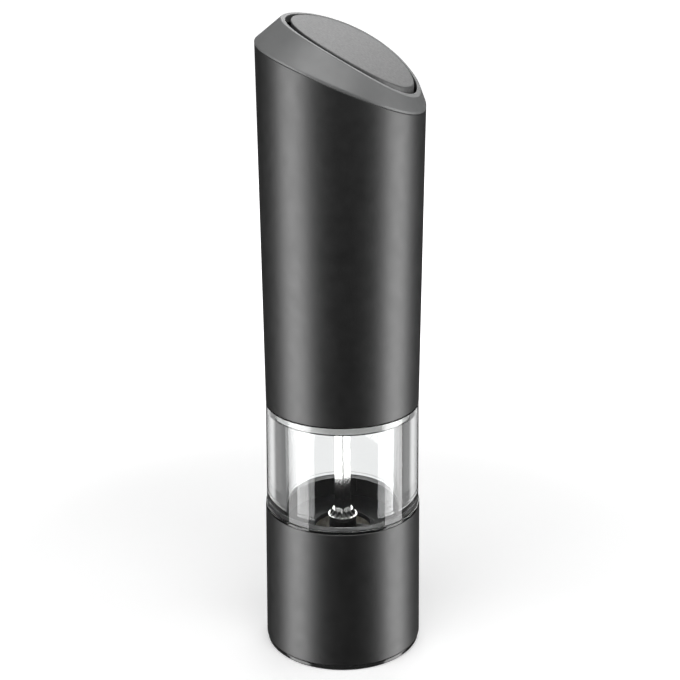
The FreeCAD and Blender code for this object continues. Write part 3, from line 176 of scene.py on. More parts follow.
def finishOf(look):
    # colour drifts with a coarse noise, roughness with a finer one, and the grain is a bump
    material = bpy.data.materials.new(look["name"])
    material.use_nodes = True
    tree = material.node_tree
    shader = tree.nodes["Principled BSDF"]
    coords = addNode(tree, "ShaderNodeTexCoord", (-1100, 0)).outputs["Object"]
    if "stretch" in look:  # brushed or drawn surfaces have grain along one axis
        mapping = addNode(tree, "ShaderNodeMapping", (-930, 0))
        mapping.inputs["Scale"].default_value = look["stretch"]
        tree.links.new(coords, mapping.inputs["Vector"])
        coords = mapping.outputs["Vector"]

    drift = noiseAt(tree, coords, look["driftSize"], 3, (-700, 300))
    ramp = addNode(tree, "ShaderNodeValToRGB", (-450, 300))
    ramp.color_ramp.elements[0].position = noiseRange[0]
    ramp.color_ramp.elements[1].position = noiseRange[1]
    ramp.color_ramp.elements[0].color = (*look["darkTone"], 1)
    ramp.color_ramp.elements[1].color = (*look["lightTone"], 1)
    tree.links.new(drift, ramp.inputs["Fac"])
    tree.links.new(ramp.outputs["Color"], shader.inputs["Base Color"])

    smudge = noiseAt(tree, coords, look["smudgeSize"], 4, (-700, 0))
    spread = rangeAt(tree, smudge, noiseRange, look["roughness"], (-450, 0))
    tree.links.new(spread, shader.inputs["Roughness"])

    grain = noiseAt(tree, coords, look["grainSize"], 2, (-700, -300))
    bump = addNode(tree, "ShaderNodeBump", (-450, -300))
    bump.inputs["Strength"].default_value = look["grainStrength"]
    bump.inputs["Distance"].default_value = look["grainDepth"] * mm
    tree.links.new(grain, bump.inputs["Height"])
    tree.links.new(bump.outputs["Normal"], shader.inputs["Normal"])

    for socket, value in look.get("shader", {}).items():
        shader.inputs[socket].default_value = value
    return material


softTouchLook = {
    "name": "softTouchBlack",
    "darkTone": (0.0020, 0.0021, 0.0021), "lightTone": (0.0034, 0.0035, 0.0035), "driftSize": 9.0,
    "roughness": (0.42, 0.47), "smudgeSize": 4.0,
    "grainSize": 0.22, "grainStrength": 0.35, "grainDepth": 0.012,
    "shader": {"Specular IOR Level": 1.0, "IOR": 1.48},
}
# the bezel is the same soft-touch black as the housing: its far lighter tone is painted light, the top light
# falling on its upturned bevel
bezelPaintedLightLook = {
    "name": "softTouchBezel",
    "darkTone": (0.085, 0.087, 0.087), "lightTone": (0.100, 0.102, 0.102), "driftSize": 7.0,
    "roughness": (0.46, 0.52), "smudgeSize": 4.0,
    "grainSize": 0.22, "grainStrength": 0.4, "grainDepth": 0.014,
    "shader": {"Specular IOR Level": 1.0, "IOR": 1.48},
}
# the button is soft-touch black as well: its lighter tone is painted light from above, while the fine speckle
# between its two tones is its real grain
buttonPaintedLightLook = {
    "name": "grainedButtonBlack",
    "darkTone": (0.042, 0.0425, 0.0425), "lightTone": (0.068, 0.0685, 0.0685), "driftSize": 0.9,
    "roughness": (0.46, 0.58), "smudgeSize": 0.8,
    "grainSize": 0.34, "grainStrength": 0.7, "grainDepth": 0.03,
    "shader": {"Specular IOR Level": 0.8, "IOR": 1.48},
}
footLook = {
    "name": "polishedFootBlack",
    "darkTone": (0.010, 0.010, 0.010), "lightTone": (0.015, 0.015, 0.015), "driftSize": 6.0,
    "roughness": (0.10, 0.16), "smudgeSize": 3.0,
    "grainSize": 0.6, "grainStrength": 0.1, "grainDepth": 0.004,
    "shader": {"Specular IOR Level": 0.5, "IOR": 1.5},
}
clearLook = {
    "name": "clearAcrylic",
    "darkTone": (0.975, 0.985, 0.985), "lightTone": (0.99, 0.995, 0.995), "driftSize": 20.0,
    "roughness": (0.0, 0.012), "smudgeSize": 5.0,
    "grainSize": 14.0, "grainStrength": 0.06, "grainDepth": 0.02,
    "shader": {"Transmission Weight": 1.0, "IOR": 1.49, "Specular IOR Level": 0.5},
}
mouldedLook = {
    "name": "mouldedBlack",
    "darkTone": (0.008, 0.008, 0.008), "lightTone": (0.013, 0.013, 0.013), "driftSize": 5.0,
    "roughness": (0.38, 0.52), "smudgeSize": 2.5,
    "grainSize": 0.3, "grainStrength": 0.25, "grainDepth": 0.015,
    "shader": {"Specular IOR Level": 0.25, "IOR": 1.5},
}
sealLook = {
    "name": "sealRubber",
    "darkTone": (0.030, 0.030, 0.030), "lightTone": (0.05, 0.05, 0.05), "driftSize": 3.0,
    "roughness": (0.6, 0.75), "smudgeSize": 1.5,
    "grainSize": 0.4, "grainStrength": 0.3, "grainDepth": 0.02,
}
ceramicLook = {
    "name": "firedCeramic",
    "darkTone": (0.66, 0.63, 0.56), "lightTone": (0.78, 0.76, 0.70), "driftSize": 2.5,
    "roughness": (0.42, 0.58), "smudgeSize": 1.2,
    "grainSize": 0.25, "grainStrength": 0.35, "grainDepth": 0.03,
}
polishedLook = {
    "name": "polishedSteel",
    "darkTone": (0.70, 0.70, 0.69), "lightTone": (0.82, 0.82, 0.81), "driftSize": 3.0,
    "roughness": (0.10, 0.20), "smudgeSize": 1.5, "stretch": (6, 6, 1),
    "grainSize": 1.2, "grainStrength": 0.15, "grainDepth": 0.006,
    "shader": {"Metallic": 1.0},
}
zincLook = {
    "name": "zincSteel",
    "darkTone": (0.46, 0.47, 0.48), "lightTone": (0.62, 0.62, 0.62), "driftSize": 2.0,
    "roughness": (0.28, 0.45), "smudgeSize": 1.0,
    "grainSize": 0.3, "grainStrength": 0.2, "grainDepth": 0.01,
    "shader": {"Metallic": 1.0},
}
brassLook = {
    "name": "turnedBrass",
    "darkTone": (0.56, 0.38, 0.14), "lightTone": (0.70, 0.50, 0.22), "driftSize": 1.6,
    "roughness": (0.24, 0.38), "smudgeSize": 0.8, "stretch": (1, 1, 8),
    "grainSize": 0.5, "grainStrength": 0.15, "grainDepth": 0.006,
    "shader": {"Metallic": 1.0},
}
nylonLook = {
    "name": "gearNylon",
    "darkTone": (0.66, 0.64, 0.56), "lightTone": (0.76, 0.74, 0.67), "driftSize": 2.5,
    "roughness": (0.36, 0.48), "smudgeSize": 1.2,
    "grainSize": 0.3, "grainStrength": 0.2, "grainDepth": 0.012,
    "shader": {"Subsurface Weight": 0.1, "Subsurface Scale": 0.001},
}
ferriteLook = {
    "name": "sinteredFerrite",
    "darkTone": (0.05, 0.05, 0.055), "lightTone": (0.085, 0.085, 0.09), "driftSize": 1.2,
    "roughness": (0.55, 0.7), "smudgeSize": 0.8,
    "grainSize": 0.15, "grainStrength": 0.5, "grainDepth": 0.02,
}
leadLook = {
    "name": "redLeadSleeve",
    "darkTone": (0.36, 0.02, 0.016), "lightTone": (0.46, 0.03, 0.02), "driftSize": 3.0,
    "roughness": (0.3, 0.42), "smudgeSize": 1.0,
    "grainSize": 0.4, "grainStrength": 0.15, "grainDepth": 0.01,
}
chassisLook = {
    "name": "whiteChassis",
    "darkTone": (0.84, 0.84, 0.83), "lightTone": (0.90, 0.90, 0.89), "driftSize": 4.0,
    "roughness": (0.35, 0.45), "smudgeSize": 2.0,
    "grainSize": 0.4, "grainStrength": 0.15, "grainDepth": 0.01,
}
boardLook = {
    "name": "greenLaminate",
    "darkTone": (0.014, 0.09, 0.03), "lightTone": (0.022, 0.13, 0.045), "driftSize": 1.2,
    "roughness": (0.25, 0.4), "smudgeSize": 1.5,
    "grainSize": 0.5, "grainStrength": 0.25, "grainDepth": 0.015,
}

softTouch = finishOf(softTouchLook)
softBezelPaintedLight = finishOf(bezelPaintedLightLook)
grainedButtonPaintedLight = finishOf(buttonPaintedLightLook)
polishedFoot = finishOf(footLook)
clearAcrylic = finishOf(clearLook)
mouldedBlack = finishOf(mouldedLook)
sealRubber = finishOf(sealLook)
firedCeramic = finishOf(ceramicLook)
polishedSteel = finishOf(polishedLook)
zincSteel = finishOf(zincLook)
turnedBrass = finishOf(brassLook)
gearNylon = finishOf(nylonLook)
sinteredFerrite = finishOf(ferriteLook)
redLead = finishOf(leadLook)
greenLaminate = finishOf(boardLook)
whiteChassis = finishOf(chassisLook)

# CAD pieces that keep their shape
finishBySlot = {
    "black_plastic": mouldedBlack, "seal_rubber": sealRubber, "white_ceramic": firedCeramic,
    "polished_steel": polishedSteel, "zinc_steel": zincSteel, "bearing_brass": turnedBrass,
    "white_nylon": gearNylon, "ferrite": sinteredFerrite, "lead_red": redLead,
    "board_green": greenLaminate, "switch_black": mouldedBlack, "plunger_red": redLead,
}
slotOfNode = {part["node"]: part["material_slot"] for part in frame["record"]["subparts"]}
for nodeName, cadPiece in cadNodes.items():
    finish = finishBySlot.get(slotOfNode[nodeName])
    if finish:
        cadPiece.data.materials.clear()
        cadPiece.data.materials.append(finish)
cadNodes["chassis"].data.materials[0] = whiteChassis
print(f"finishes: {len(finishBySlot)} slots")


# base, foot and clear container: turned pieces with broken edges

baseShape = {"footRadius": 27.5, "topRadius": 27.0, "bottom": 1.75, "top": 51.85, "bore": 25.2,
             "ledgeBore": 22.9, "ledgeTop": 39.2, "ledgeBottom": 37.6, "edge": 0.3}


def makeBase(size):
    profile = [
        (size["bore"], size["bottom"], 0), (size["footRadius"], size["bottom"], size["edge"]),
        (size["topRadius"], size["top"], size["edge"]), (size["bore"], size["top"], 0),
        (size["bore"], size["ledgeTop"], 0), (size["ledgeBore"], size["ledgeTop"], 0),
        (size["ledgeBore"], size["ledgeBottom"], 0), (size["bore"], size["ledgeBottom"], 0),
    ]
    return ringMesh("baseShell", [latheShell(profile)])


standsFor(makeBase(baseShape), "base_housing", "base", softTouch)

capShape = {"rim": 27.1, "rimTop": 1.4, "floor": 1.2, "collar": 24.95, "collarWall": 1.2, "collarTop": 8.2,
            "edge": 0.3}


def makeCap(size):
    inner = size["collar"] - size["collarWall"]
    profile = [
        (poleRadius, 0, 0), (size["rim"], 0, size["edge"]), (size["rim"], size["rimTop"], size["edge"]),
        (size["collar"], size["rimTop"], 0), (size["collar"], size["collarTop"], size["edge"]),
        (inner, size["collarTop"], size["edge"]), (inner, size["floor"], 0), (poleRadius, size["floor"], 0),
    ]
    return ringMesh("aromaCapDish", [(latheRings(profile), False, True)])


standsFor(makeCap(capShape), "aroma_cap", "cap", polishedFoot)

containerShape = {"spigotBottom": 48.0, "spigot": 25.1, "spigotBore": 24.0, "step": 52.4, "flangeBottom": 51.85,
                  "flange": 26.95, "flangeTop": 52.95, "wallFoot": 26.6, "wallTop": 26.25, "windowTop": 90.15,
                  "neck": 24.5, "neckTop": 98.0, "neckBore": 23.4, "shelf": 86.9, "bore": 20.0, "edge": 0.22,
                  "margin": 0.02}


def makeContainer(size):
    edge = size["edge"]
    profile = [
        (size["spigotBore"], size["spigotBottom"], 0), (size["spigot"], size["spigotBottom"], 0),
        (size["spigot"], size["flangeBottom"], 0), (size["flange"], size["flangeBottom"], edge),
        (size["flange"], size["flangeTop"], edge), (size["wallFoot"], size["flangeTop"], 0),
        (size["wallTop"], size["windowTop"], edge), (size["neck"], size["windowTop"], 0),
        (size["neck"], size["neckTop"], edge), (size["neckBore"], size["neckTop"], edge),
        (size["neckBore"], size["shelf"], 0), (size["bore"], size["shelf"], edge),
        (size["bore"], size["step"], edge), (size["spigotBore"], size["step"], 0),
    ]
    return ringMesh("clearContainer", [latheShell(profile)])


def blackenSeat(piece, size):
    # the shelf under the thick wall and the spigot below it sit against the black cup and show it
    piece.data.materials.append(mouldedBlack)
    for face in piece.data.polygons:
        radius = math.hypot(face.center.x, face.center.y)
        low = face.center.z < (size["step"] + size["margin"]) * mm
        if low and radius < (size["spigot"] + size["margin"]) * mm:
            face.material_index = 1


container = makeContainer(containerShape)
standsFor(container, "pepper_container", "base", clearAcrylic)
blackenSeat(container, containerShape)
print("turned shells: base, cap, container")

# square shaft: the CAD shape with its long edges broken, so each edge draws a thin line
shaftShape = {"edge": 0.5 * mm, "segments": 3, "angle": 60, "least": 20 * mm, "weld": 0.002 * mm, "sharp": 20}


def makeShaft(size):
    shaft = copyOfNode("steelShaft", "drive_shaft")
    bm = bmesh.new()
    bm.from_mesh(shaft.data)
    bmesh.ops.remove_doubles(bm, verts=bm.verts, dist=size["weld"])
    upright = [edge for edge in bm.edges if edge.calc_length() > size["least"]
               and len(edge.link_faces) == 2 and edge.calc_face_angle() > math.radians(size["angle"])]
    bmesh.ops.bevel(bm, geom=upright, offset=size["edge"], segments=size["segments"], profile=0.5,
                    affect="EDGES")
    bm.to_mesh(shaft.data)
    bm.free()
    for face in shaft.data.polygons:
        face.use_smooth = True
    shaft.data.set_sharp_from_angle(angle=math.radians(size["sharp"]))
    return shaft, len(upright)


steelShaft, shaftEdges = makeShaft(shaftShape)
standsFor(steelShaft, "drive_shaft", "drive", polishedSteel)
print(f"square shaft: {shaftEdges} long edges broken")


def makeSpring():
    spring = copyOfNode("pressSpring", "button_spring")
    levels = [vertex.co.z for vertex in spring.data.vertices]
    standsFor(spring, "button_spring", "head", zincSteel)
    foot, length = min(levels), max(levels) - min(levels)
    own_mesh(spring)
    return length


springLength = makeSpring()
print(f"press spring: {springLength / mm:.1f} mm long at rest")


# slanted top: three arches in the XZ plane, each through three heights

topShape = {"reach": 30.0, "seam": (213.0, 204.5, 189.35), "rim": (223.1, 213.25, 192.15),
            "button": (223.95, 213.55, 193.75)}


def archOf(heights, reach):
    # circle through (-reach, high), (0, middle) and (reach, low)
    high, middle, low = heights
    a, b = high - middle, low - middle
    cz = (2 * reach * reach + a * a + b * b) / (2 * (a + b))
    cx = (b * b - a * a - 2 * cz * (b - a)) / (4 * reach)
    radius = math.hypot(cx, cz)
    return lambda x: middle + cz + math.sqrt(radius * radius - (x - cx) ** 2)


seamAt = archOf(topShape["seam"], topShape["reach"])
rimAt = archOf(topShape["rim"], topShape["reach"])
buttonAt = archOf(topShape["button"], topShape["reach"])

sleeveShape = {"bottom": 90.45, "foot": 26.3, "top": 27.55, "topLevel": 213.0, "wall": 1.5, "edge": 0.3,
               "seamEdge": 0.3, "rounds": 6}


def sleeveRadius(z):
    size = sleeveShape
    rise = size["topLevel"] - size["bottom"]
    return size["foot"] + (size["top"] - size["foot"]) * (z - size["bottom"]) / rise


def wallPoint(turn, inset, lift):
    # a point of the slanted seam on the housing wall, drawn in by an inset and moved up by a lift;
    # the wall leans, so radius and height settle together over a few rounds
    radius = sleeveShape["top"]
    for _ in range(sleeveShape["rounds"]):
        z = seamAt(radius * math.cos(turn)) + lift
        radius = sleeveRadius(z) - inset
    return Vector((radius * math.cos(turn), radius * math.sin(turn), z))


def turnAngles():
    return [2 * math.pi * i / roundTurns for i in range(roundTurns)]


def sectionRings(sectionAt):
    # sectionAt(turn) gives the outline of one section; rings run round the mill through equal points
    sections = [sectionAt(turn) for turn in turnAngles()]
    return [[section[k] * mm for section in sections] for k in range(len(sections[0]))]


def sleeveSection(turn):
    size = sleeveShape
    outward = Vector((math.cos(turn), math.sin(turn), 0))
    footOuter = outward * size["foot"] + Vector((0, 0, size["bottom"]))
    footInner = outward * (size["foot"] - size["wall"]) + Vector((0, 0, size["bottom"]))
    topOuter = wallPoint(turn, 0, 0)
    topInner = wallPoint(turn, size["wall"], 0)
    return softOutline([(footInner, 0), (footOuter, size["edge"]), (topOuter, size["seamEdge"]), (topInner, 0)])


sleeve = ringMesh("upperShell", [(sectionRings(sleeveSection), True, False)])
standsFor(sleeve, "upper_housing", "sleeve", softTouch)

bezelShape = {"halfLength": 20.85, "halfWidth": 21.25, "shift": 3.5, "land": 1.4, "thickness": 2.2, "band": 0.8,
              "soft": 0.33, "seamEdge": 0.26, "landEdge": 0.3, "openingEdge": 0.25, "skirtDepth": 5.0,
              "skirtInset": 1.6, "boreInset": 2.8, "lip": 0.3, "boreDrop": 0.3}


def ovalPoint(turn, grow, heightAt, lift=0.0):
    size = bezelShape
    x = size["shift"] + (size["halfLength"] + grow) * math.cos(turn)
    return Vector((x, (size["halfWidth"] + grow) * math.sin(turn), heightAt(x) + lift))


def bezelSection(turn):
    size = bezelShape
    return softOutline([
        (wallPoint(turn, 0, 0), size["seamEdge"]),
        (wallPoint(turn, 0, size["band"]), size["soft"]),
        (ovalPoint(turn, size["land"], rimAt), size["landEdge"]),
        (ovalPoint(turn, 0, rimAt), size["openingEdge"]),
        (ovalPoint(turn, 0, rimAt, -size["thickness"]), 0),
        (ovalPoint(turn, size["lip"], rimAt, -size["thickness"]), 0),
        (wallPoint(turn, size["boreInset"], -size["boreDrop"]), 0),
        (wallPoint(turn, size["boreInset"], -size["skirtDepth"]), 0),
        (wallPoint(turn, size["skirtInset"], -size["skirtDepth"]), 0),
        (wallPoint(turn, size["skirtInset"], 0), 0),
    ])


bezel = ringMesh("slantedBezel", [(sectionRings(bezelSection), True, False)])
# the bezel's lighter grey is painted light from above
standsFor(bezel, "top_bezel", "sleeve", softBezelPaintedLight)

buttonShape = {"left": -15.65, "right": 23.4, "halfWidth": 19.75, "top": 2.4, "depth": 6.5, "wall": 1.4,
               "edge": 0.45, "crownInset": 1.4, "seat": (6.4, 9.2, 204.45), "seatEdge": 0.2, "seatTurns": 96,
               "stem": (3.0, 200.45), "stemEdge": 0.3, "stemTurns": 64, "tab": (6.0, 1.5, 21.95, 204.9),
               "tabRoot": 0.7, "sink": 0.1, "rings": (0.985, 0.95, 0.88, 0.76, 0.6, 0.42, 0.22, 0.02)}


def buttonPoint(turn, inset, scale, drop):
    size = buttonShape
    middle = (size["left"] + size["right"]) / 2
    half = (size["right"] - size["left"]) / 2
    x = middle + (half - inset) * scale * math.cos(turn)
    return Vector((x, (size["halfWidth"] - inset) * scale * math.sin(turn), buttonAt(x) - drop))


def buttonSection(turn):
    size = buttonShape
    under = [buttonPoint(turn, size["wall"], s, size["top"]) for s in reversed(size["rings"])]
    upper = [buttonPoint(turn, size["edge"] * size["crownInset"], s, 0) for s in size["rings"]]
    rim = softCorner(
        buttonPoint(turn, 0, 1, size["depth"]), buttonPoint(turn, 0, 1, 0),
        buttonPoint(turn, size["wall"], 1, 0), size["edge"],
    )
    foot = [buttonPoint(turn, size["wall"], 1, size["top"]), buttonPoint(turn, size["wall"], 1, size["depth"]),
            buttonPoint(turn, 0, 1, size["depth"])]
    return under + foot + rim + upper


def boxRings(low, high):
    corners = [(low[0], low[1]), (high[0], low[1]), (high[0], high[1]), (low[0], high[1])]
    return [[Vector((x, y, z)) * mm for x, y in corners] for z in (low[2], high[2])]


def makeButton():
    size = buttonShape
    shells = [(sectionRings(buttonSection), False, True)]
    underside = buttonAt(0) - size["top"] - size["sink"]
    innerSeat, outerSeat, seatBottom = size["seat"]
    lowSide = buttonAt(outerSeat) - size["top"] - size["sink"]
    seatProfile = [(innerSeat, seatBottom, size["seatEdge"]), (outerSeat, seatBottom, size["seatEdge"]),
                   (outerSeat, lowSide, 0), (innerSeat, lowSide, 0)]
    shells.append(latheShell(seatProfile, size["seatTurns"]))
    stem, stemBottom = size["stem"]
    stemProfile = [(poleRadius, stemBottom, 0), (stem, stemBottom, size["stemEdge"]),
                   (stem, underside, 0), (poleRadius, underside, 0)]
    shells.append((latheRings(stemProfile, size["stemTurns"]), False, True))
    width, thick, reach, level = size["tab"]
    for side in (-1, 1):
        near, far = sorted((side * (size["halfWidth"] - size["tabRoot"]), side * reach))
        shells.append((boxRings((-width / 2, near, level), (width / 2, far, level + thick)), False, True))
    return ringMesh("slantedButton", shells)


# the button's lighter grey is painted light from above, laid over its real grain
standsFor(makeButton(), "push_button", "button", grainedButtonPaintedLight)
print("slanted top: housing, bezel, button")


# battery cells: one wrapped cell, set round a ring by Geometry Nodes, every second one upside down

cellShape = {"radius": 5.2, "half": 21.75, "nub": 1.9, "nubTop": 22.7, "crimp": 4.5, "wrapBand": 15.0,
             "bandStep": 0.02, "dish": 0.15, "footDish": (0.8, 0.5), "topDish": (1.2, 1.0), "shoulder": 0.4,
             "bareInset": 0.2, "dishEdge": 0.08, "crimpEdge": 0.1, "shoulderEdge": 0.2, "nubEdge": 0.25,
             "turns": 64}
cellRing = {"Count": 6, "Circle": 12.0 * mm, "Level": 163.9 * mm}
wrapLook = {
    "name": "wrappedCell",
    "darkTone": (0.030, 0.075, 0.16), "lightTone": (0.045, 0.10, 0.20), "driftSize": 6.0,
    "roughness": (0.22, 0.34), "smudgeSize": 2.0,
    "grainSize": 1.5, "grainStrength": 0.1, "grainDepth": 0.01,
    "bandTone": (0.55, 0.56, 0.58), "bareTone": (0.70, 0.70, 0.69),
}


def makeWrap(look):
    # bare steel ends and a pale band near the nub come from two mesh attributes
    material = finishOf(look)
    tree = material.node_tree
    shader = tree.nodes["Principled BSDF"]
    wrap = shader.inputs["Base Color"].links[0].from_socket
    band = addNode(tree, "ShaderNodeAttribute", (-700, 600), attribute_name="band")
    bare = addNode(tree, "ShaderNodeAttribute", (-450, 600), attribute_name="bare")
    banded = addNode(tree, "ShaderNodeMix", (-200, 500), data_type="RGBA")
    banded.inputs["B"].default_value = (*look["bandTone"], 1)
    tree.links.new(band.outputs["Fac"], banded.inputs["Factor"])
    tree.links.new(wrap, banded.inputs["A"])
    ended = addNode(tree, "ShaderNodeMix", (0, 500), data_type="RGBA")
    ended.inputs["B"].default_value = (*look["bareTone"], 1)
    tree.links.new(bare.outputs["Fac"], ended.inputs["Factor"])
    tree.links.new(banded.outputs["Result"], ended.inputs["A"])
    tree.links.new(ended.outputs["Result"], shader.inputs["Base Color"])
    tree.links.new(bare.outputs["Fac"], shader.inputs["Metallic"])
    return material


def makeCell(size):
    r, half, nub, top, crimp = size["radius"], size["half"], size["nub"], size["nubTop"], size["crimp"]
    dish, shoulder, band = size["dish"], size["shoulder"], size["wrapBand"]
    dishEdge, crimpEdge, shoulderEdge = size["dishEdge"], size["crimpEdge"], size["shoulderEdge"]
    footIn, footOut = size["footDish"]
    topOut, topIn = size["topDish"]
    profile = [
        (poleRadius, dish - half, 0), (crimp - footIn, dish - half, dishEdge),
        (crimp - footOut, -half, dishEdge), (crimp, -half, crimpEdge), (r, shoulder - half, shoulderEdge),
        (r, band, 0), (r, band + size["bandStep"], 0), (r, half - shoulder, shoulderEdge),
        (crimp, half, crimpEdge), (nub + topOut, half, dishEdge), (nub + topIn, half - dish, dishEdge),
        (nub, half - dish, 0), (nub, top, size["nubEdge"]), (poleRadius, top, 0),
    ]
    cell = ringMesh("cellMould", [(latheRings(profile, size["turns"]), False, True)])
    bareEnds = cell.data.attributes.new("bare", "FLOAT", "POINT")
    paleBand = cell.data.attributes.new("band", "FLOAT", "POINT")
    for vertex in cell.data.vertices:
        x, y, z = vertex.co
        bareEnds.data[vertex.index].value = float(math.hypot(x, y) < (crimp - size["bareInset"]) * mm)
        paleBand.data[vertex.index].value = float(z > (band + size["bandStep"] / 2) * mm)
    return cell


def makeRingTree(mould, material):
    tree = bpy.data.node_groups.new("cellRing", "GeometryNodeTree")
    tree.interface.new_socket("Geometry", in_out="OUTPUT", socket_type="NodeSocketGeometry")
    tree.interface.new_socket("Count", in_out="INPUT", socket_type="NodeSocketInt")
    tree.interface.new_socket("Circle", in_out="INPUT", socket_type="NodeSocketFloat")
    tree.interface.new_socket("Level", in_out="INPUT", socket_type="NodeSocketFloat")
    given = addNode(tree, "NodeGroupInput", (-900, 0))
    circle = addNode(tree, "GeometryNodeMeshCircle", (-700, 100))
    tree.links.new(given.outputs["Count"], circle.inputs["Vertices"])
    tree.links.new(given.outputs["Circle"], circle.inputs["Radius"])
    height = addNode(tree, "ShaderNodeCombineXYZ", (-700, -150))
    tree.links.new(given.outputs["Level"], height.inputs["Z"])
    raised = addNode(tree, "GeometryNodeTransform", (-500, 100))
    tree.links.new(circle.outputs["Mesh"], raised.inputs["Geometry"])
    tree.links.new(height.outputs["Vector"], raised.inputs["Translation"])
    index = addNode(tree, "GeometryNodeInputIndex", (-900, -300))
    odd = addNode(tree, "ShaderNodeMath", (-700, -300), operation="MODULO")
    odd.inputs[1].default_value = 2
    tree.links.new(index.outputs["Index"], odd.inputs[0])
    flip = addNode(tree, "ShaderNodeMath", (-500, -300), operation="MULTIPLY")
    flip.inputs[1].default_value = math.pi
    tree.links.new(odd.outputs["Value"], flip.inputs[0])
    turned = addNode(tree, "ShaderNodeCombineXYZ", (-300, -300))
    tree.links.new(flip.outputs["Value"], turned.inputs["X"])
    info = addNode(tree, "GeometryNodeObjectInfo", (-500, -100))
    info.inputs["Object"].default_value = mould
    placed = addNode(tree, "GeometryNodeInstanceOnPoints", (-100, 0))
    tree.links.new(raised.outputs["Geometry"], placed.inputs["Points"])
    tree.links.new(info.outputs["Geometry"], placed.inputs["Instance"])
    tree.links.new(turned.outputs["Vector"], placed.inputs["Rotation"])
    whole = addNode(tree, "GeometryNodeRealizeInstances", (100, 0))
    tree.links.new(placed.outputs["Instances"], whole.inputs["Geometry"])
    coated = addNode(tree, "GeometryNodeSetMaterial", (300, 0))
    coated.inputs["Material"].default_value = material
    tree.links.new(whole.outputs["Geometry"], coated.inputs["Geometry"])
    result = addNode(tree, "NodeGroupOutput", (500, 0))
    tree.links.new(coated.outputs["Geometry"], result.inputs["Geometry"])
    return tree


def makeCells(size, ring, material):
    mould = makeCell(size)
    tree = makeRingTree(mould, material)
    holder = bpy.data.objects.new("cellHolder", bpy.data.meshes.new("cellHolder"))
    bpy.context.collection.objects.link(holder)
    modifier = holder.modifiers.new("cellRing", "NODES")
    modifier.node_group = tree
    for item in tree.interface.items_tree:
        if item.in_out == "INPUT":
            modifier[item.identifier] = ring[item.name]
    shaped = holder.evaluated_get(bpy.context.evaluated_depsgraph_get())
    cells = bpy.data.objects.new("wrappedCells", bpy.data.meshes.new_from_object(shaped))
    bpy.context.collection.objects.link(cells)
    holder.modifiers.clear()
    bpy.data.objects.remove(holder)
    bpy.data.objects.remove(mould)
    bpy.data.node_groups.remove(tree)
    return cells


wrappedCell = makeWrap(wrapLook)
standsFor(makeCells(cellShape, cellRing, wrappedCell), "aaa_cells", "head", wrappedCell)
print(f"battery: {cellRing['Count']} cells")


# studio: pale floor, soft boxes at both sides and above, white behind

cameraSetup = {"distance": 480.9, "height": 281.2, "azimuth": 0.2926, "pitch": 0.3384, "roll": -0.0036,
               "focal": 1502.3, "imageSize": 680, "centreX": 342.1, "sensor": 36.0, "clip": (0.01, 20)}


def makeCamera(setup):
    data = bpy.data.cameras.new("photoCamera")
    data.sensor_width = setup["sensor"]
    data.lens = setup["focal"] * setup["sensor"] / setup["imageSize"]
    data.shift_x = (setup["imageSize"] / 2 - setup["centreX"]) / setup["imageSize"]
    data.clip_start, data.clip_end = setup["clip"]
    camera = bpy.data.objects.new("photoCamera", data)
    turn = setup["azimuth"]
    camera.location = Vector((math.sin(turn) * setup["distance"], -math.cos(turn) * setup["distance"],
                              setup["height"])) * mm
    camera.rotation_euler = (math.pi / 2 - setup["pitch"], 0, turn)
    camera.rotation_euler.rotate_axis("Z", setup["roll"])
    bpy.context.collection.objects.link(camera)
    bpy.context.scene.camera = camera


makeCamera(cameraSetup)

softBoxes = [
    # angle is measured from the camera, positive to its right; sizes in metres, power in watts
    {"name": "leftBox", "angle": -69, "distance": 0.62, "level": -0.1, "aim": -0.1,
     "size": (0.40, 0.8), "power": 5.2},
    {"name": "rightBox", "angle": 82, "distance": 0.62, "level": -0.1, "aim": -0.1,
     "size": (0.38, 0.8), "power": 4.9},
    {"name": "backBox", "angle": 170, "distance": 0.75, "level": 0.60, "aim": 0.2,
     "size": (0.7, 0.4), "power": 2.8},
    {"name": "frontTopBox", "angle": 0, "distance": 0.40, "level": 0.78, "aim": 0.2,
     "size": (1.0, 0.5), "power": 5.5},
]


def makeSoftBox(setup):
    data = bpy.data.lights.new(setup["name"], "AREA")
    data.shape = "RECTANGLE"
    data.size, data.size_y = setup["size"]
    data.energy = setup["power"]
    lamp = bpy.data.objects.new(setup["name"], data)
    turn = cameraSetup["azimuth"] + math.radians(setup["angle"])
    lamp.location = (math.sin(turn) * setup["distance"], -math.cos(turn) * setup["distance"], setup["level"])
    aim = Vector((0, 0, setup["aim"])) - lamp.location
    lamp.rotation_euler = aim.to_track_quat("-Z", "Y").to_euler()
    lamp.visible_camera = False
    bpy.context.collection.objects.link(lamp)


for setup in softBoxes:
    makeSoftBox(setup)

worldSetup = {"ambient": 0.10, "gloss": (0.02, 0.6), "roof": (0.2, 0.5), "through": (0.22, 1.0),
              "whiteWithin": 14, "greyBeyond": 34}


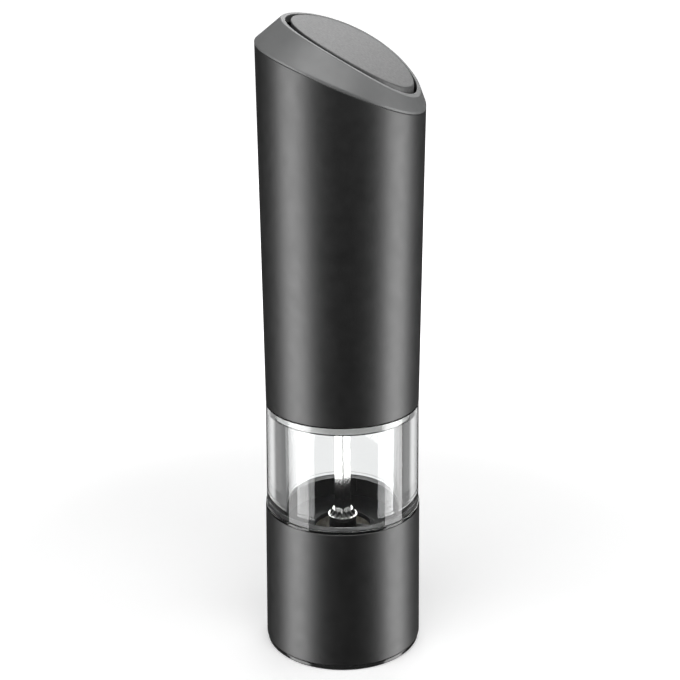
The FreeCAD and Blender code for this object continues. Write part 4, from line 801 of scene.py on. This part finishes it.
def makeWorld(setup):
    # the camera sees white, clear pieces see white straight behind and grey beside it,
    # and gloss sees a dark room with a pale roof
    world = bpy.data.worlds.new("studioRoom")
    bpy.context.scene.world = world
    world.use_nodes = True
    tree = world.node_tree
    background = tree.nodes["Background"]
    background.inputs["Color"].default_value = (1, 1, 1, 1)
    path = addNode(tree, "ShaderNodeLightPath", (-900, 300))
    coords = addNode(tree, "ShaderNodeTexCoord", (-1500, -200))
    level = addNode(tree, "ShaderNodeVectorMath", (-1300, -200), operation="MULTIPLY")
    level.inputs[1].default_value = (1, 1, 0)
    tree.links.new(coords.outputs["Generated"], level.inputs[0])
    heading = addNode(tree, "ShaderNodeVectorMath", (-1100, -200), operation="NORMALIZE")
    tree.links.new(level.outputs["Vector"], heading.inputs[0])
    behind = addNode(tree, "ShaderNodeVectorMath", (-900, -200), operation="DOT_PRODUCT")
    turn = cameraSetup["azimuth"]
    behind.inputs[1].default_value = (-math.sin(turn), math.cos(turn), 0)
    tree.links.new(heading.outputs["Vector"], behind.inputs[0])
    turnRange = [math.cos(math.radians(setup[name])) for name in ("greyBeyond", "whiteWithin")]
    through = rangeAt(tree, behind.outputs["Value"], turnRange, setup["through"], (-700, -200),
                      interpolation_type="SMOOTHSTEP")
    parts = addNode(tree, "ShaderNodeSeparateXYZ", (-1300, -450))
    tree.links.new(coords.outputs["Generated"], parts.inputs["Vector"])
    roof = rangeAt(tree, parts.outputs["Z"], setup["roof"], setup["gloss"], (-700, -450),
                   interpolation_type="SMOOTHSTEP")
    glossy = addNode(tree, "ShaderNodeMix", (-480, 0))
    glossy.inputs["A"].default_value = setup["ambient"]
    tree.links.new(path.outputs["Is Glossy Ray"], glossy.inputs["Factor"])
    tree.links.new(roof, glossy.inputs["B"])
    clear = addNode(tree, "ShaderNodeMix", (-260, 0))
    tree.links.new(path.outputs["Is Transmission Ray"], clear.inputs["Factor"])
    tree.links.new(glossy.outputs["Result"], clear.inputs["A"])
    tree.links.new(through, clear.inputs["B"])
    strength = addNode(tree, "ShaderNodeMix", (-60, 100))
    strength.inputs["B"].default_value = 1.0
    tree.links.new(path.outputs["Is Camera Ray"], strength.inputs["Factor"])
    tree.links.new(clear.outputs["Result"], strength.inputs["A"])
    tree.links.new(strength.outputs["Result"], background.inputs["Strength"])


makeWorld(worldSetup)

floorSetup = {"size": 6.0, "drop": 0.0002, "tone": 0.86, "roughness": 0.8, "specular": 0.1,
              "lift": (0.24, 1.0), "liftOver": (0.14, 0.36)}


def makeFloor(setup):
    # white to the camera further out, and plainly lit close by, where the shadow falls
    half = setup["size"] / 2
    mesh = bpy.data.meshes.new("paleFloor")
    corners = [(-half, -half), (half, -half), (half, half), (-half, half)]
    mesh.from_pydata([(x, y, -setup["drop"]) for x, y in corners], [], [(0, 1, 2, 3)])
    floor = bpy.data.objects.new("paleFloor", mesh)
    bpy.context.collection.objects.link(floor)
    material = bpy.data.materials.new("paleFloorSheet")
    material.use_nodes = True
    tree = material.node_tree
    shader = tree.nodes["Principled BSDF"]
    shader.inputs["Base Color"].default_value = (setup["tone"], setup["tone"], setup["tone"], 1)
    shader.inputs["Roughness"].default_value = setup["roughness"]
    shader.inputs["Specular IOR Level"].default_value = setup["specular"]
    path = addNode(tree, "ShaderNodeLightPath", (-600, 300))
    coords = addNode(tree, "ShaderNodeTexCoord", (-1000, 0))
    away = addNode(tree, "ShaderNodeVectorMath", (-800, 0), operation="LENGTH")
    tree.links.new(coords.outputs["Object"], away.inputs[0])
    rise = rangeAt(tree, away.outputs["Value"], setup["liftOver"], setup["lift"], (-600, 0),
                   interpolation_type="SMOOTHSTEP")
    lift = addNode(tree, "ShaderNodeMath", (-200, 300), operation="MULTIPLY")
    shader.inputs["Emission Color"].default_value = (1, 1, 1, 1)
    tree.links.new(path.outputs["Is Camera Ray"], lift.inputs[0])
    tree.links.new(rise, lift.inputs[1])
    tree.links.new(lift.outputs["Value"], shader.inputs["Emission Strength"])
    floor.visible_glossy = False  # the soft boxes reach below the floor line, as in a light tent
    floor.visible_transmission = False
    floor.visible_shadow = False
    mesh.materials.append(material)


makeFloor(floorSetup)
bpy.context.scene.view_settings.view_transform = "Standard"
print("studio: camera, soft boxes, room, floor")
